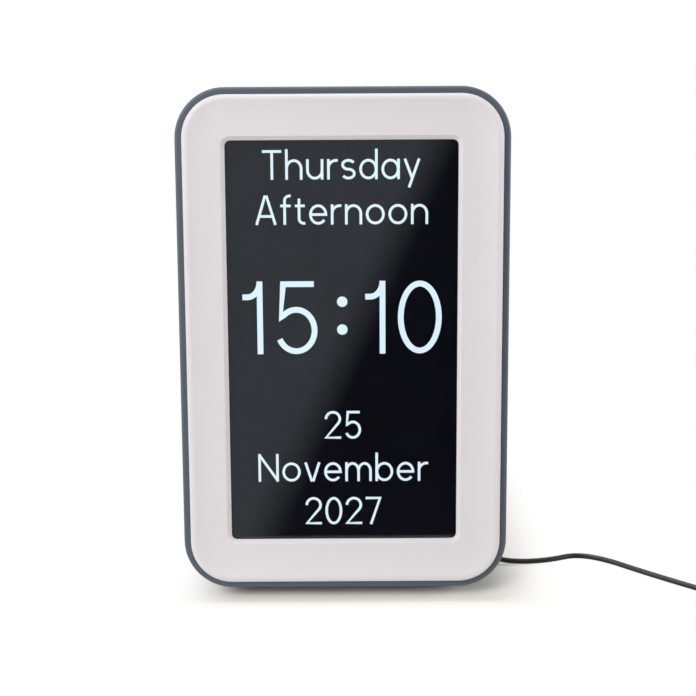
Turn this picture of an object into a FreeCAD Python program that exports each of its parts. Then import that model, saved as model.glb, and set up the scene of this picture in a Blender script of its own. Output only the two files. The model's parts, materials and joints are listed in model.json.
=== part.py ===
import FreeCAD, Part
import math
import os
import re

import Sketcher
from FreeCAD import Vector

# A portrait day clock: a moulded bezel in a rear housing, a display module behind it, boards, a speaker,
# push buttons, a fold-out stand and a supply lead with its mains adapter.
#
# The case is built in a frame of its own: x across, y up the face, z out of the face, with zero at the middle
# of the lower edge of the case's back. That frame then leans back and stands on the table, where +Z is up,
# the face looks along -Y and the origin is the middle of the rubber foot's underside.

SIZES = [
    # how the clock stands
    ("lean", 10, "backward lean of the case, in degrees"),
    ("lift", 1.0, "height of the lower back edge over the table"),
    # rear housing
    ("case_width", 126.6, "case across"),
    ("case_height", 193.75, "case up the face"),
    ("case_corner", 19, "corner radius of the case outline"),
    ("case_depth", 21, "back of the case to the front of its rim"),
    ("wall", 2.65, "side wall of the housing, seen as the rim"),
    ("back_wall", 2.4, "back wall of the housing"),
    ("back_round", 5, "rounding of the housing's back edge"),
    ("rim_round", 1.1, "rounding of the rim's outer edge"),
    # bezel
    ("bezel_gap", 0.12, "gap round the bezel inside the rim"),
    ("bezel_wall", 2.2, "skirt of the bezel"),
    ("bezel_seat", 9, "level where the bezel's skirt and bosses end"),
    ("crest_level", 23.4, "level of the bezel's crest"),
    ("crest_round", 1.8, "rounding outside the crest"),
    ("crest_inset", 2.4, "bezel outline to the start of the dish"),
    ("steep_inset", 6.2, "bezel outline to the end of the dish's steep part"),
    ("steep_drop", 1.1, "depth of the dish there"),
    ("slack_inset", 10.4, "bezel outline to the dish's shallow part"),
    ("slack_drop", 1.75, "depth of the dish there"),
    ("dish_drop", 2.0, "depth of the dish at the window"),
    ("dish_land", 1.9, "flat land round the window"),
    ("plate_back", 19.2, "level of the bezel plate's inner face"),
    ("side_border", 19.15, "window's sides from the case's sides"),
    ("end_border", 19.5, "window's ends from the case's ends"),
    ("window_corner", 2.2, "corner radius of the window"),
    ("window_shift", -0.5, "window's middle from the case's middle, across"),
    ("window_rise", -0.1, "window's middle over the case's middle"),
    ("window_chamfer", 1.45, "chamfer round the window"),
    # case screws and their bosses
    ("boss_in", 10.5, "corner bosses from the case's sides"),
    ("boss_middle_in", 8.7, "middle bosses from the case's sides"),
    ("boss_margin", 11.5, "corner bosses from the case's lower and upper edges"),
    ("boss_radius", 3.6, "housing boss"),
    ("bezel_boss_radius", 3.2, "bezel boss"),
    ("screw_seat", 3.0, "level where a case screw's head sits"),
    ("screw_shank", 1.2, "radius of a case screw's shank"),
    ("screw_head", 2.6, "radius of a case screw's head"),
    ("screw_head_tall", 1.6, "height of a case screw's head"),
    ("screw_length", 14.5, "length of a case screw under its head"),
    ("screw_room", 0.25, "clearance round a case screw's shank and head"),
    ("thread_gap", 0.05, "gap round a screw in its pilot hole"),
    ("pilot_spare", 0.8, "pilot hole beyond the screw's point"),
    # display lens and module
    ("lens_thick", 1.5, "clear front lens"),
    ("lens_border", 2.6, "lens past the window on each side"),
    ("tape_thick", 0.2, "adhesive frame behind the bezel plate"),
    ("tape_inset", 0.8, "adhesive frame from the lens edge and from the window"),
    ("cell_gap", 0.12, "gap between the lens and the cell"),
    ("cell_side", 4.4, "liquid crystal cell past the window's sides"),
    ("cell_end", 3.5, "liquid crystal cell past the window's ends"),
    ("cell_thick", 1.5, "liquid crystal cell"),
    ("frame_wall", 2.3, "side of the module's plastic frame"),
    ("frame_side", 1.2, "module frame past the cell's sides"),
    ("frame_end", 1.3, "module frame past the cell's ends"),
    ("sheet_gap", 0.2, "gap round the optical sheets in their frame"),
    ("diffuser_thick", 0.4, "diffuser sheet"),
    ("guide_thick", 2.0, "light guide plate"),
    ("reflector_thick", 0.2, "reflector sheet"),
    ("strip_tall", 0.8, "light strip up the face"),
    ("tray_thick", 0.5, "steel tray floor"),
    ("tray_wall", 0.4, "steel tray side"),
    ("tray_lip", 3.4, "steel tray side over its floor"),
    ("clip_long", 12, "panel clip across"),
    ("clip_tall", 7, "panel clip up the face"),
    ("clip_thick", 0.8, "panel clip"),
    ("clip_in", 11.7, "panel clip's middle from the case's side"),
    ("clip_post_in", 8.5, "panel clip's screw from the case's side"),
    ("clip_rise", 55, "panel clips over and under the case's middle"),
    ("post_radius", 2.5, "post for a small screw"),
    ("small_shank", 0.95, "radius of a small screw's shank"),
    ("small_head", 2.0, "radius of a small screw's head"),
    ("small_head_tall", 1.1, "height of a small screw's head"),
    ("small_length", 4.5, "length of a small screw under its head"),
    ("small_room", 0.2, "clearance round a small screw in a plate"),
    # main board
    ("board_thick", 1.6, "main board"),
    ("board_width", 70, "main board across"),
    ("board_height", 30, "main board up the face"),
    ("board_fall", 28.4, "main board's middle under the row of buttons"),
    ("board_level", 7.4, "level of the main board's back face"),
    ("board_hole_inset", 3.5, "main board's screw holes from its edges"),
    ("chip_side", 14, "processor chip"),
    ("chip_thick", 1.3, "processor chip"),
    ("memory_width", 8, "memory chip across"),
    ("memory_height", 12, "memory chip up the face"),
    ("memory_thick", 1.0, "memory chip"),
    ("coil_part_side", 5.2, "board inductor"),
    ("coil_part_thick", 2.4, "board inductor"),
    ("cell_case_radius", 6.25, "coin cell"),
    ("cell_case_thick", 2.0, "coin cell"),
    ("holder_wall", 0.9, "coin cell holder's side"),
    ("holder_floor", 0.4, "coin cell holder's floor"),
    ("ribbon_plug_width", 20, "display ribbon's connector"),
    ("ribbon_plug_tall", 4, "display ribbon's connector up the face"),
    ("ribbon_plug_thick", 1.8, "display ribbon's connector"),
    ("ribbon_width", 17, "display ribbon"),
    ("ribbon_thick", 0.2, "display and key ribbons"),
    ("ribbon_grip", 16, "display ribbon's length on the tray"),
    ("ribbon_fall", 7, "display ribbon's slope between tray and connector"),
    # push buttons and key board
    ("button_fall", 23.4, "row of buttons under the upper edge"),
    ("button_pitch", 13, "buttons apart"),
    ("button_radius", 3.55, "button cap"),
    ("button_gap", 0.25, "gap round a button in its hole"),
    ("button_proud", 1.0, "button cap over the back of the case"),
    ("button_dish", 0.35, "hollow in the button cap"),
    ("button_flange", 4.7, "radius of the button's flange"),
    ("flange_thick", 0.9, "button's flange"),
    ("flange_gap", 0.1, "gap between flange and back wall"),
    ("button_travel", 0.5, "how far a button goes in"),
    ("press_gap", 0.1, "gap left at the switch when a button is in"),
    ("switch_nub", 1.7, "radius of a switch's nub"),
    ("switch_nub_tall", 0.9, "switch's nub"),
    ("switch_side", 6, "switch body"),
    ("switch_tall", 3.4, "switch body"),
    ("key_board_end", 10, "key board past its outer buttons"),
    ("key_board_height", 11, "key board up the face"),
    ("key_board_thick", 1.2, "key board"),
    ("key_post_out", 7.5, "key board's posts outside its outer buttons"),
    ("key_ribbon_width", 12, "key board's ribbon"),
    ("key_ribbon_grip", 2.2, "key board's ribbon on each board"),
    # speaker
    ("speaker_share", 0.54, "speaker's height over the lower edge as a share of the case's"),
    ("speaker_radius", 13.5, "speaker frame"),
    ("speaker_tab", 5.5, "solder tab beside the speaker frame"),
    ("tab_share", 0.8, "tab's middle from the speaker's as a share of its radius, across and up"),
    ("speaker_seal", 0.6, "foam ring behind the grille"),
    ("speaker_rim", 1.2, "speaker frame's rim"),
    ("speaker_deep", 4.6, "speaker frame under its rim"),
    ("basket_radius", 8.9, "speaker frame at the magnet"),
    ("frame_skin", 0.9, "wall of the speaker frame"),
    ("cone_skin", 0.4, "speaker cone"),
    ("magnet_radius", 7.5, "speaker magnet"),
    ("magnet_thick", 3.2, "speaker magnet"),
    ("grille_slot", 1.7, "width of a grille slot"),
    ("grille_pitch", 3.3, "grille slots apart"),
    ("grille_radius", 10.4, "reach of the grille slots"),
    # vents and wall hanging
    ("vent_slot", 1.6, "width of a vent slot"),
    ("vent_long", 8, "length of a vent slot"),
    ("vent_pitch", 4.2, "vent slots apart"),
    ("vent_count", 11, "vent slots in their row"),
    ("vent_fall", 11, "vent slots under the upper edge"),
    ("hang_in", 19.3, "keyholes from the case's sides"),
    ("hang_fall", 24, "keyhole's round end under the row of buttons"),
    ("hang_head", 4.3, "radius of the keyhole's round end"),
    ("hang_slot_width", 4.4, "width of the keyhole's slot"),
    ("hang_rise", 10, "keyhole's slot over its round end"),
    # fold-out stand
    ("hinge_share", 0.1342, "stand's hinge over the lower edge as a share of the case's height"),
    ("hinge_in", 3.6, "stand's hinge in from the back of the case"),
    ("open_angle", 107, "how far the stand swings out, in degrees"),
    ("leg_width", 46.8, "stand leg across"),
    ("leg_side_gap", 0.6, "gap beside the leg in its recess"),
    ("leg_tip_width", 38, "leg across at its tip"),
    ("leg_straight", 0.35, "share of the leg's length before it narrows"),
    ("leg_outer", 2.7, "leg's outer face from the hinge, also the knuckle's radius"),
    ("leg_inner", 0.5, "leg's inner face from the hinge"),
    ("leg_rib", 1.5, "height of the leg's ribs"),
    ("leg_rib_width", 1.6, "width of the leg's ribs"),
    ("notch_width", 16, "notch between the leg's knuckles"),
    ("notch_deep", 7, "notch between the knuckles, from the hinge"),
    ("pull_width", 18, "finger slot in the leg"),
    ("pull_tall", 6.5, "finger slot in the leg"),
    ("pull_share", 0.72, "finger slot's place as a share of the leg's length"),
    ("pad_radius", 3.2, "rubber bar on the leg's tip"),
    ("pad_grip", 2.2, "leg's reach into the rubber bar"),
    ("pad_gap", 1.3, "gap past the rubber bar in the recess"),
    ("stop_gap", 0.12, "gap between the open leg and its stop"),
    ("recess_deep", 6.9, "stand recess"),
    ("recess_wall", 3.5, "side of the recess inside the case"),
    ("recess_floor", 1.8, "floor of the recess inside the case"),
    ("recess_corner", 0.8, "corner radius of the recess"),
    ("pin_radius", 1.25, "hinge pin"),
    ("pin_in_leg", 6.5, "hinge pin inside the leg"),
    ("pin_in_wall", 3.1, "hinge pin inside the recess wall"),
    ("pin_fit", 0.05, "running clearance of the hinge pin in the leg"),
    ("pin_hold", 0.03, "gap round the hinge pin in the recess wall"),
    # rubber foot
    ("foot_inset", 3.2, "foot's ends from the corners of the case"),
    ("foot_deep", 6.9, "rubber foot front to back"),
    ("foot_middle", 8.4, "foot's middle from the back of the case"),
    ("foot_corner", 2.4, "corner radius of the foot"),
    # supply socket and plug
    ("jack_in", 24.8, "supply socket from the case's side"),
    ("jack_up", 12.5, "supply socket over the lower edge"),
    ("jack_side", 9.2, "supply socket's body"),
    ("jack_deep", 7, "supply socket's body inside the back wall"),
    ("jack_bore", 3.05, "supply socket's bore"),
    ("jack_floor", 0.6, "supply socket's floor"),
    ("jack_contact", 0.9, "supply socket's middle contact"),
    ("jack_mouth", 4.0, "radius of the hole in the back wall"),
    ("power_board_width", 19, "power board across"),
    ("power_board_height", 21, "power board up the face"),
    ("power_board_thick", 1.2, "power board"),
    ("power_post_across", 6.4, "power board's posts from the socket, across"),
    ("power_post_up", 10.4, "power board's posts over the socket"),
    ("sleeve_radius", 2.75, "metal sleeve of the supply plug"),
    ("sleeve_bore", 1.25, "bore of the metal sleeve"),
    ("sleeve_spare", 0.3, "gap between the sleeve's end and the socket's floor"),
    ("plug_gap", 0.3, "gap between the plug's collar and the case"),
    ("plug_arm_in", 5, "plug arm's middle behind the back of the case"),
    ("plug_collar", 4.5, "radius of the plug's collar"),
    ("plug_arm", 4.0, "radius of the plug's arm"),
    ("plug_arm_long", 10.5, "plug's arm from the collar's middle"),
    ("plug_reach", 19, "end of the strain relief from the collar's middle"),
    ("plug_turn", 22, "slope of the plug's arm towards the table, in degrees"),
    ("relief_root", 3.0, "radius of a strain relief at its root"),
    ("relief_tip", 1.9, "radius of a strain relief at its end"),
    # leads inside
    ("lead_radius", 0.9, "inner leads"),
    ("lead_plug_side", 5, "connector of an inner lead"),
    ("speaker_plug_across", 16, "speaker lead's connector from the middle line"),
    ("lead_plug_thick", 2.0, "connector of an inner lead"),
    ("lead_straight", 8.5, "straight run of the power lead at its connector"),
    ("lead_out", 5, "power lead's run outside the socket's middle"),
    ("lead_low", 6.4, "level of the power lead's run"),
    # supply cord, coil and adapter
    ("cord_radius", 1.1, "supply cord"),
    ("lead_in", 8.5, "straight run of cord at the plug and at the coil"),
    ("coil_across", 172, "coil's middle from the middle line"),
    ("coil_front", 36.5, "coil's middle in front of the origin"),
    ("coil_mean", 15.6, "radius of the middle turns"),
    ("coil_gap", 0.45, "gap between turns beside and on each other"),
    ("layer_turns", 2.5, "turns in a layer between two climbs"),
    ("layer_count", 4, "layers"),
    ("tie_thick", 0.8, "tie round the coil"),
    ("tie_width", 5, "width of the tie"),
    ("tie_gap", 0.5, "gap between tie and turns"),
    ("tail_long", 14, "cord between coil and adapter"),
    ("adapter_relief", 10, "adapter's strain relief"),
    ("adapter_width", 35, "adapter across"),
    ("adapter_long", 46, "adapter front to back"),
    ("adapter_tall", 24, "adapter's height as it lies"),
    ("adapter_round", 4, "rounding of the adapter's long edges"),
    ("nose_width", 31, "plug nose of the adapter across"),
    ("nose_tall", 14, "plug nose of the adapter"),
    ("nose_long", 7, "plug nose of the adapter"),
    ("blade_radius", 2.0, "adapter's pin"),
    ("blade_long", 19, "adapter's pin"),
    ("blade_pitch", 19, "adapter's pins apart"),
    ("blade_round", 1.2, "rounding of the pin's tip"),
]

# Points of the lead from the plug's strain relief to the coil, chosen by hand: across, back and up from the
# origin. The two points at each end are worked out from the plug and the coil.
CORD_ROUTE = [
    (75.0, 14.0, 1.15),
    (86.5, 15.8, 1.1),
    (97.5, 20.2, 1.1),
    (109.0, 16.0, 1.1),
    (121.0, 6.0, 1.1),
    (134.0, -3.8, 1.1),
    (146.5, -13.1, 1.3),
]
FLAT = "0"
BUTTONS = ["menu_button", "down_button", "enter_button", "up_button", "power_button"]
# Corner radius of a slot as a share of its width
SLOT_END = 0.49

doc = FreeCAD.newDocument("day_clock")
sizes = doc.addObject("Spreadsheet::Sheet", "sizes")
for row, (alias, number, meaning) in enumerate(SIZES, 1):
    sizes.set(f"A{row}", meaning)
    sizes.set(f"B{row}", str(number))
    sizes.setAlias(f"B{row}", alias)
doc.recompute()
ALIASES = {alias for alias, _, _ in SIZES}


def size(alias):
    """The number that the sheet holds."""
    return float(getattr(sizes, alias))


def bound(text):
    """An expression of aliases, spelled as the document's expression engine reads it."""
    return re.sub(r"[a-z_]+", lambda m: "sizes." + m.group() if m.group() in ALIASES else m.group(), text)


def value_of(text):
    """The number that an expression of aliases comes to."""
    return float(sizes.evalExpression(bound(text)))


def bind(thing, prop, text):
    thing.setExpression(prop, bound(text))


# Expressions that several pieces share
MIDDLE_UP = "case_height / 2"
WINDOW_UP = "(case_height / 2 + window_rise)"
WINDOW_WIDTH = "(case_width - 2 * side_border)"
WINDOW_HEIGHT = "(case_height - 2 * end_border)"
BEZEL_WIDTH = "(case_width - 2 * wall - 2 * bezel_gap)"
BEZEL_HEIGHT = "(case_height - 2 * wall - 2 * bezel_gap)"
BEZEL_CORNER = "(case_corner - wall - bezel_gap)"
LENS_LEVEL = "(plate_back - tape_thick - lens_thick)"
CELL_WIDTH = f"({WINDOW_WIDTH} + 2 * cell_side)"
CELL_HEIGHT = f"({WINDOW_HEIGHT} + 2 * cell_end)"
CELL_LEVEL = f"({LENS_LEVEL} - cell_gap - cell_thick)"
FRAME_WIDTH = f"({CELL_WIDTH} + 2 * frame_side)"
FRAME_HEIGHT = f"({CELL_HEIGHT} + 2 * frame_end)"
DIFFUSER_LEVEL = f"({CELL_LEVEL} - diffuser_thick)"
GUIDE_LEVEL = f"({DIFFUSER_LEVEL} - guide_thick)"
REFLECTOR_LEVEL = f"({GUIDE_LEVEL} - reflector_thick)"
TRAY_LEVEL = f"({REFLECTOR_LEVEL} - tray_thick)"
CLIP_LEVEL = f"({TRAY_LEVEL} - clip_thick)"
CLIP_ACROSS = "(case_width / 2 - clip_in)"
CLIP_POST_ACROSS = "(case_width / 2 - clip_post_in)"
BOSS_ACROSS = "(case_width / 2 - boss_in)"
BOSS_MIDDLE_ACROSS = "(case_width / 2 - boss_middle_in)"
BUTTON_UP = "(case_height - button_fall)"
BOARD_UP = f"({BUTTON_UP} - board_fall)"
BOARD_TOP = "(board_level + board_thick)"
HANG_ACROSS = "(case_width / 2 - hang_in)"
HANG_UP = f"({BUTTON_UP} - hang_fall)"
VENT_UP = "(case_height - vent_fall)"
SPEAKER_UP = "(speaker_share * case_height)"
TAB_MIDDLE = "(tab_share * speaker_radius)"
TAB_TOP = "(back_wall + speaker_seal + speaker_rim)"
KEY_POST_ACROSS = f"({len(BUTTONS) - 1} / 2 * button_pitch + key_post_out)"
KEY_BOARD_WIDTH = f"({len(BUTTONS) - 1} * button_pitch + 2 * key_board_end)"
FLANGE_TOP = "(back_wall + flange_gap + flange_thick)"
NUB_LEVEL = f"({FLANGE_TOP} + button_travel + press_gap)"
SWITCH_LEVEL = f"({NUB_LEVEL} + switch_nub_tall)"
KEY_LEVEL = f"({SWITCH_LEVEL} + switch_tall)"
KEY_TOP = f"({KEY_LEVEL} + key_board_thick)"
POWER_LEVEL = "(back_wall + jack_deep)"
POWER_TOP = f"({POWER_LEVEL} + power_board_thick)"
JACK_ACROSS = "(case_width / 2 - jack_in)"
RECESS_WIDTH = "(leg_width + 2 * leg_side_gap)"
HINGE_UP = "(hinge_share * case_height)"
LEG_SLOPE = "(open_angle - 90 + lean)"
LEG_MIDDLE = "((leg_inner - leg_outer) / 2)"
HINGE_HEIGHT = f"(lift + {HINGE_UP} * cos(lean) + hinge_in * sin(lean))"
LEG_REACH = f"(({HINGE_HEIGHT} + {LEG_MIDDLE} * cos({LEG_SLOPE}) - pad_radius) / sin({LEG_SLOPE}))"
RECESS_LOW = (
    f"({HINGE_UP} - leg_outer / cos(open_angle - 90) - hinge_in * tan(open_angle - 90) - stop_gap)"
)
RECESS_HIGH = f"({HINGE_UP} + {LEG_REACH} + pad_radius + pad_gap)"
FOOT_BACK = "(foot_middle * cos(lean))"
FOOT_WIDTH = "(case_width - 2 * case_corner - 2 * foot_inset)"
TURN_PITCH = "(2 * cord_radius + coil_gap)"
COIL_BASE = "(tie_thick + tie_gap + cord_radius)"
COIL_OUTER = f"(coil_mean + {TURN_PITCH} * layer_turns / 2)"
CORD_END_UP = f"({COIL_BASE} + {TURN_PITCH} * (layer_count - 1))"
ADAPTER_ACROSS = f"(coil_across + {COIL_OUTER})"
RELIEF_START = "(tail_long - coil_front)"
ADAPTER_START = f"({RELIEF_START} + adapter_relief)"
NOSE_START = f"({ADAPTER_START} + adapter_long)"
BLADE_START = f"({NOSE_START} + nose_long)"
# Connectors of the inner leads: on the power board, and on the main board for the power and the speaker
SOCKET_PLUG_UP = "(jack_up + 2.5 * lead_plug_side)"
SOCKET_PLUG_LEVEL = f"({POWER_TOP} + lead_plug_thick / 2)"
POWER_PLUG_ACROSS = "(board_width / 2 - 0.9 * lead_plug_side)"
POWER_PLUG_UP = f"({BOARD_UP} - 0.2 * board_height)"
SPEAKER_PLUG_UP = f"({BOARD_UP} - board_height / 2 + 1.2 * lead_plug_side)"
BOARD_PLUG_LEVEL = f"({BOARD_TOP} + lead_plug_thick / 2)"
# Points of the inner leads in the case's own frame, from connector to connector
LEAD_ACROSS = f"({JACK_ACROSS} + lead_out)"
LEAD_START = f"({SOCKET_PLUG_UP} + lead_plug_side / 2)"
POWER_LEAD_ROUTE = [
    (JACK_ACROSS, LEAD_START, SOCKET_PLUG_LEVEL),
    (JACK_ACROSS, f"{LEAD_START} + lead_straight", SOCKET_PLUG_LEVEL),
    (LEAD_ACROSS, f"{LEAD_START} + 3 * lead_straight", "lead_low + lead_radius"),
    (LEAD_ACROSS, f"{SPEAKER_UP} - speaker_radius", "lead_low"),
    (LEAD_ACROSS, f"{BOARD_UP} - board_height / 2 - lead_straight", "lead_low + 2 * lead_radius"),
    (f"{JACK_ACROSS} + lead_radius", POWER_PLUG_UP, BOARD_PLUG_LEVEL),
    (f"{POWER_PLUG_ACROSS} + lead_plug_side / 2", POWER_PLUG_UP, BOARD_PLUG_LEVEL),
]
SPEAKER_LEAD_ROUTE = [
    (TAB_MIDDLE, f"{SPEAKER_UP} + {TAB_MIDDLE}", TAB_TOP),
    (TAB_MIDDLE, f"{SPEAKER_UP} + {TAB_MIDDLE}", BOARD_PLUG_LEVEL),
    ("speaker_plug_across", f"{SPEAKER_UP} + speaker_plug_across", BOARD_PLUG_LEVEL),
    ("speaker_plug_across", f"{SPEAKER_PLUG_UP} - lead_plug_side / 2", BOARD_PLUG_LEVEL),
]

# The leaning frame of the case
case_frame = doc.addObject("App::Placement", "case_frame")
bind(
    case_frame,
    "Placement",
    f"create(<<placement>>; create(<<vector>>; 0; {FOOT_BACK}; lift); "
    "create(<<rotation>>; create(<<vector>>; 1; 0; 0); 90 - lean))",
)
PARTS = []


def local_place(x, y, z, axis=(0, 0, 1), angle=FLAT):
    a, b, c = axis
    return (
        f"create(<<placement>>; create(<<vector>>; {x}; {y}; {z}); "
        f"create(<<rotation>>; create(<<vector>>; {a}; {b}; {c}); {angle}))"
    )


def in_case(thing, x=FLAT, y=FLAT, z=FLAT, axis=(0, 0, 1), angle=FLAT):
    """Place a piece in the leaning frame of the case."""
    bind(thing, "Placement", "case_frame.Placement * " + local_place(x, y, z, axis, angle))


def on_table(thing, x=FLAT, y=FLAT, z=FLAT, axis=(0, 0, 1), angle=FLAT):
    """Place a piece in the upright frame of the table."""
    bind(thing, "Placement", local_place(x, y, z, axis, angle))


def keep(thing, label):
    thing.Label = label
    PARTS.append(thing)
    return thing


def new_body(label):
    return keep(doc.addObject("PartDesign::Body", label + "_body"), label)


def sketch(body, name, role="XY_Plane", x=FLAT, y=FLAT, z=FLAT):
    """A sketch on one of the body's own origin planes, moved along the plane's own directions."""
    plane = next(f for f in body.Origin.OriginFeatures if f.Role == role)
    made = body.newObject("Sketcher::SketchObject", name)
    made.AttachmentSupport = [(plane, "")]
    made.MapMode = "FlatFace"
    for direction, text in zip("xyz", (x, y, z)):
        if text != FLAT:
            bind(made, "AttachmentOffset.Base." + direction, text)
    return made


def fix_point(made, geo, end, x, y):
    """Hold one point of a sketch at two expressions, each FLAT where it lies on an axis."""
    here = made.getPoint(geo, end)
    for kind, text, axis, now in (("DistanceX", x, -2, here.x), ("DistanceY", y, -1, here.y)):
        if text == FLAT:
            made.addConstraint(Sketcher.Constraint("PointOnObject", geo, end, axis))
        else:
            row = made.addConstraint(Sketcher.Constraint(kind, -1, 1, geo, end, now))
            bind(made, f"Constraints[{row}]", text)


def fix_radius(made, geo, text):
    row = made.addConstraint(Sketcher.Constraint("Radius", geo, made.Geometry[geo].Radius))
    bind(made, f"Constraints[{row}]", text)


def draw_circle(made, radius, x=FLAT, y=FLAT):
    geo = made.addGeometry(Part.Circle(Vector(1, 1, 0), Vector(0, 0, 1), 1), False)
    fix_point(made, geo, 3, x, y)
    fix_radius(made, geo, radius)


def draw_rounded(made, width, height, corner, x=None, y=None):
    """A rounded rectangle round the sketch's origin, or round a point given by expressions."""
    half, tall, bend = 10.0, 20.0, 2.0
    lines = [
        Part.LineSegment(Vector(bend - half, tall), Vector(half - bend, tall)),
        Part.LineSegment(Vector(half, tall - bend), Vector(half, bend - tall)),
        Part.LineSegment(Vector(half - bend, -tall), Vector(bend - half, -tall)),
        Part.LineSegment(Vector(-half, bend - tall), Vector(-half, tall - bend)),
    ]
    up = Vector(0, 0, 1)
    quarter = math.pi / 2
    corners = [(1, 1, 0), (1, -1, -1), (-1, -1, 2), (-1, 1, 1)]
    arcs = []
    for sx, sy, start in corners:
        ring = Part.Circle(Vector(sx * (half - bend), sy * (tall - bend)), up, bend)
        arcs.append(Part.ArcOfCircle(ring, start * quarter, (start + 1) * quarter))
    first = made.GeometryCount
    made.addGeometry(lines + arcs, False)
    top, right, bottom, left = range(first, first + 4)
    top_right, low_right, low_left, top_left = range(first + 4, first + 8)
    for line, line_end, arc, arc_end in (
        (top, 2, top_right, 2),
        (right, 1, top_right, 1),
        (right, 2, low_right, 2),
        (bottom, 1, low_right, 1),
        (bottom, 2, low_left, 2),
        (left, 1, low_left, 1),
        (left, 2, top_left, 2),
        (top, 1, top_left, 1),
    ):
        made.addConstraint(Sketcher.Constraint("Tangent", line, line_end, arc, arc_end))
    for line in (top, bottom):
        made.addConstraint(Sketcher.Constraint("Horizontal", line))
    for line in (right, left):
        made.addConstraint(Sketcher.Constraint("Vertical", line))
    for arc in (low_right, low_left, top_left):
        made.addConstraint(Sketcher.Constraint("Equal", top_right, arc))
    fix_radius(made, top_right, corner)
    across, up_face = x or FLAT, y or FLAT
    fix_point(
        made, top_right, 3, f"{across} + {width} / 2 - {corner}", f"{up_face} + {height} / 2 - {corner}"
    )
    fix_point(
        made, low_left, 3, f"{across} - {width} / 2 + {corner}", f"{up_face} - {height} / 2 + {corner}"
    )


def draw_slot(made, width, height, x=None, y=None):
    """An upright slot with round ends."""
    draw_rounded(made, width, height, f"({width} * {SLOT_END})", x, y)


def draw_outline(made, points):
    """A closed outline of straight sides through points given by expressions."""
    count = len(points)
    angles = [2 * math.pi * k / count for k in range(count)]
    start = [Vector(math.cos(angle), math.sin(angle)) for angle in angles]
    first = made.GeometryCount
    made.addGeometry([Part.LineSegment(start[k], start[(k + 1) % count]) for k in range(count)], False)
    for k in range(count):
        made.addConstraint(Sketcher.Constraint("Coincident", first + k, 2, first + (k + 1) % count, 1))
    for k, (x, y) in enumerate(points):
        fix_point(made, first + k, 1, x, y)


def volume_of(body):
    return body.Shape.Volume if body.Shape.Solids else 0.0


def pad(body, made, length, midplane=False, down=False):
    doc.recompute()
    before = volume_of(body)
    feature = body.newObject("PartDesign::Pad", made.Name + "_pad")
    feature.Profile = made
    feature.Midplane = midplane
    feature.Reversed = down
    bind(feature, "Length", length)
    body.Tip = feature
    doc.recompute()
    if volume_of(body) <= before:
        raise RuntimeError(f"{feature.Name} adds nothing")
    return feature


def pocket(body, made, length, upward=False, midplane=False):
    """Cut against the sketch's normal, or along it where upward is set."""
    doc.recompute()
    before = volume_of(body)
    feature = body.newObject("PartDesign::Pocket", made.Name + "_cut")
    feature.Profile = made
    feature.Midplane = midplane
    feature.Reversed = upward
    bind(feature, "Length", length)
    body.Tip = feature
    doc.recompute()
    if volume_of(body) >= before:
        raise RuntimeError(f"{feature.Name} cuts nothing")
    return feature


def turn_profile(body, made, axis="H_Axis"):
    feature = body.newObject("PartDesign::Revolution", made.Name + "_turn")
    feature.Profile = made
    feature.ReferenceAxis = (made, [axis])
    feature.Angle = 360
    body.Tip = feature
    doc.recompute()
    return feature


def edges_where(shape, test):
    return [f"Edge{k}" for k, edge in enumerate(shape.Edges, 1) if test(edge)]


def flat_at(level):
    """A test for edges that lie wholly at one level."""
    return lambda edge: abs(edge.BoundBox.ZMin - level) < 1e-4 and abs(edge.BoundBox.ZMax - level) < 1e-4


def dress(body, kind, prop, amount, test):
    """A fillet or chamfer on the edges of the body's tip that pass a test."""
    base = body.Tip
    doc.recompute()
    names = edges_where(base.Shape, test)
    if not names:
        raise RuntimeError(f"{body.Label} has no edge to dress")
    feature = body.newObject(f"PartDesign::{kind}", f"{body.Label}_{kind.lower()}")
    feature.Base = (base, names)
    bind(feature, prop, amount)
    body.Tip = feature
    doc.recompute()
    return feature


def fillet(body, radius, test):
    return dress(body, "Fillet", "Radius", radius, test)


def chamfer(body, amount, test):
    return dress(body, "Chamfer", "Size", amount, test)


def add_posts(body, name, places, radius, level, length):
    posts = sketch(body, name, z=level)
    for x, y in places:
        draw_circle(posts, radius, x, y)
    return pad(body, posts, length)


def cut_holes(body, name, places, radius, level, length):
    """Round holes that start at a level and run out of the face's side."""
    holes = sketch(body, name, z=level)
    for x, y in places:
        draw_circle(holes, radius, x, y)
    return pocket(body, holes, length, upward=True)


def slab(label, width, height, corner, level, thick, x=None, y=None):
    """A flat piece with rounded corners that stands on a level, parallel to the face."""
    body = new_body(label)
    outline = sketch(body, label + "_outline", z=level)
    draw_rounded(outline, width, height, corner, x, y)
    pad(body, outline, thick)
    in_case(body)
    return body


def block(label, width, height, thick, x, y, level):
    """A plain electronic part: a box centred on x and y that stands on a level."""
    made = doc.addObject("Part::Box", label + "_box")
    bind(made, "Length", width)
    bind(made, "Width", height)
    bind(made, "Height", thick)
    in_case(made, f"{x} - {width} / 2", f"{y} - {height} / 2", level)
    return made


def block_group(label, blocks):
    """Several boxes that are one node: identical or like parts of one board."""
    body = new_body(label)
    for k, (width, height, thick, x, y, level) in enumerate(blocks):
        outline = sketch(body, f"{label}_{k}", z=level)
        draw_outline(
            outline,
            [
                (f"{x} - {width} / 2", f"{y} - {height} / 2"),
                (f"{x} + {width} / 2", f"{y} - {height} / 2"),
                (f"{x} + {width} / 2", f"{y} + {height} / 2"),
                (f"{x} - {width} / 2", f"{y} + {height} / 2"),
            ],
        )
        pad(body, outline, thick)
    in_case(body)
    return body


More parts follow.
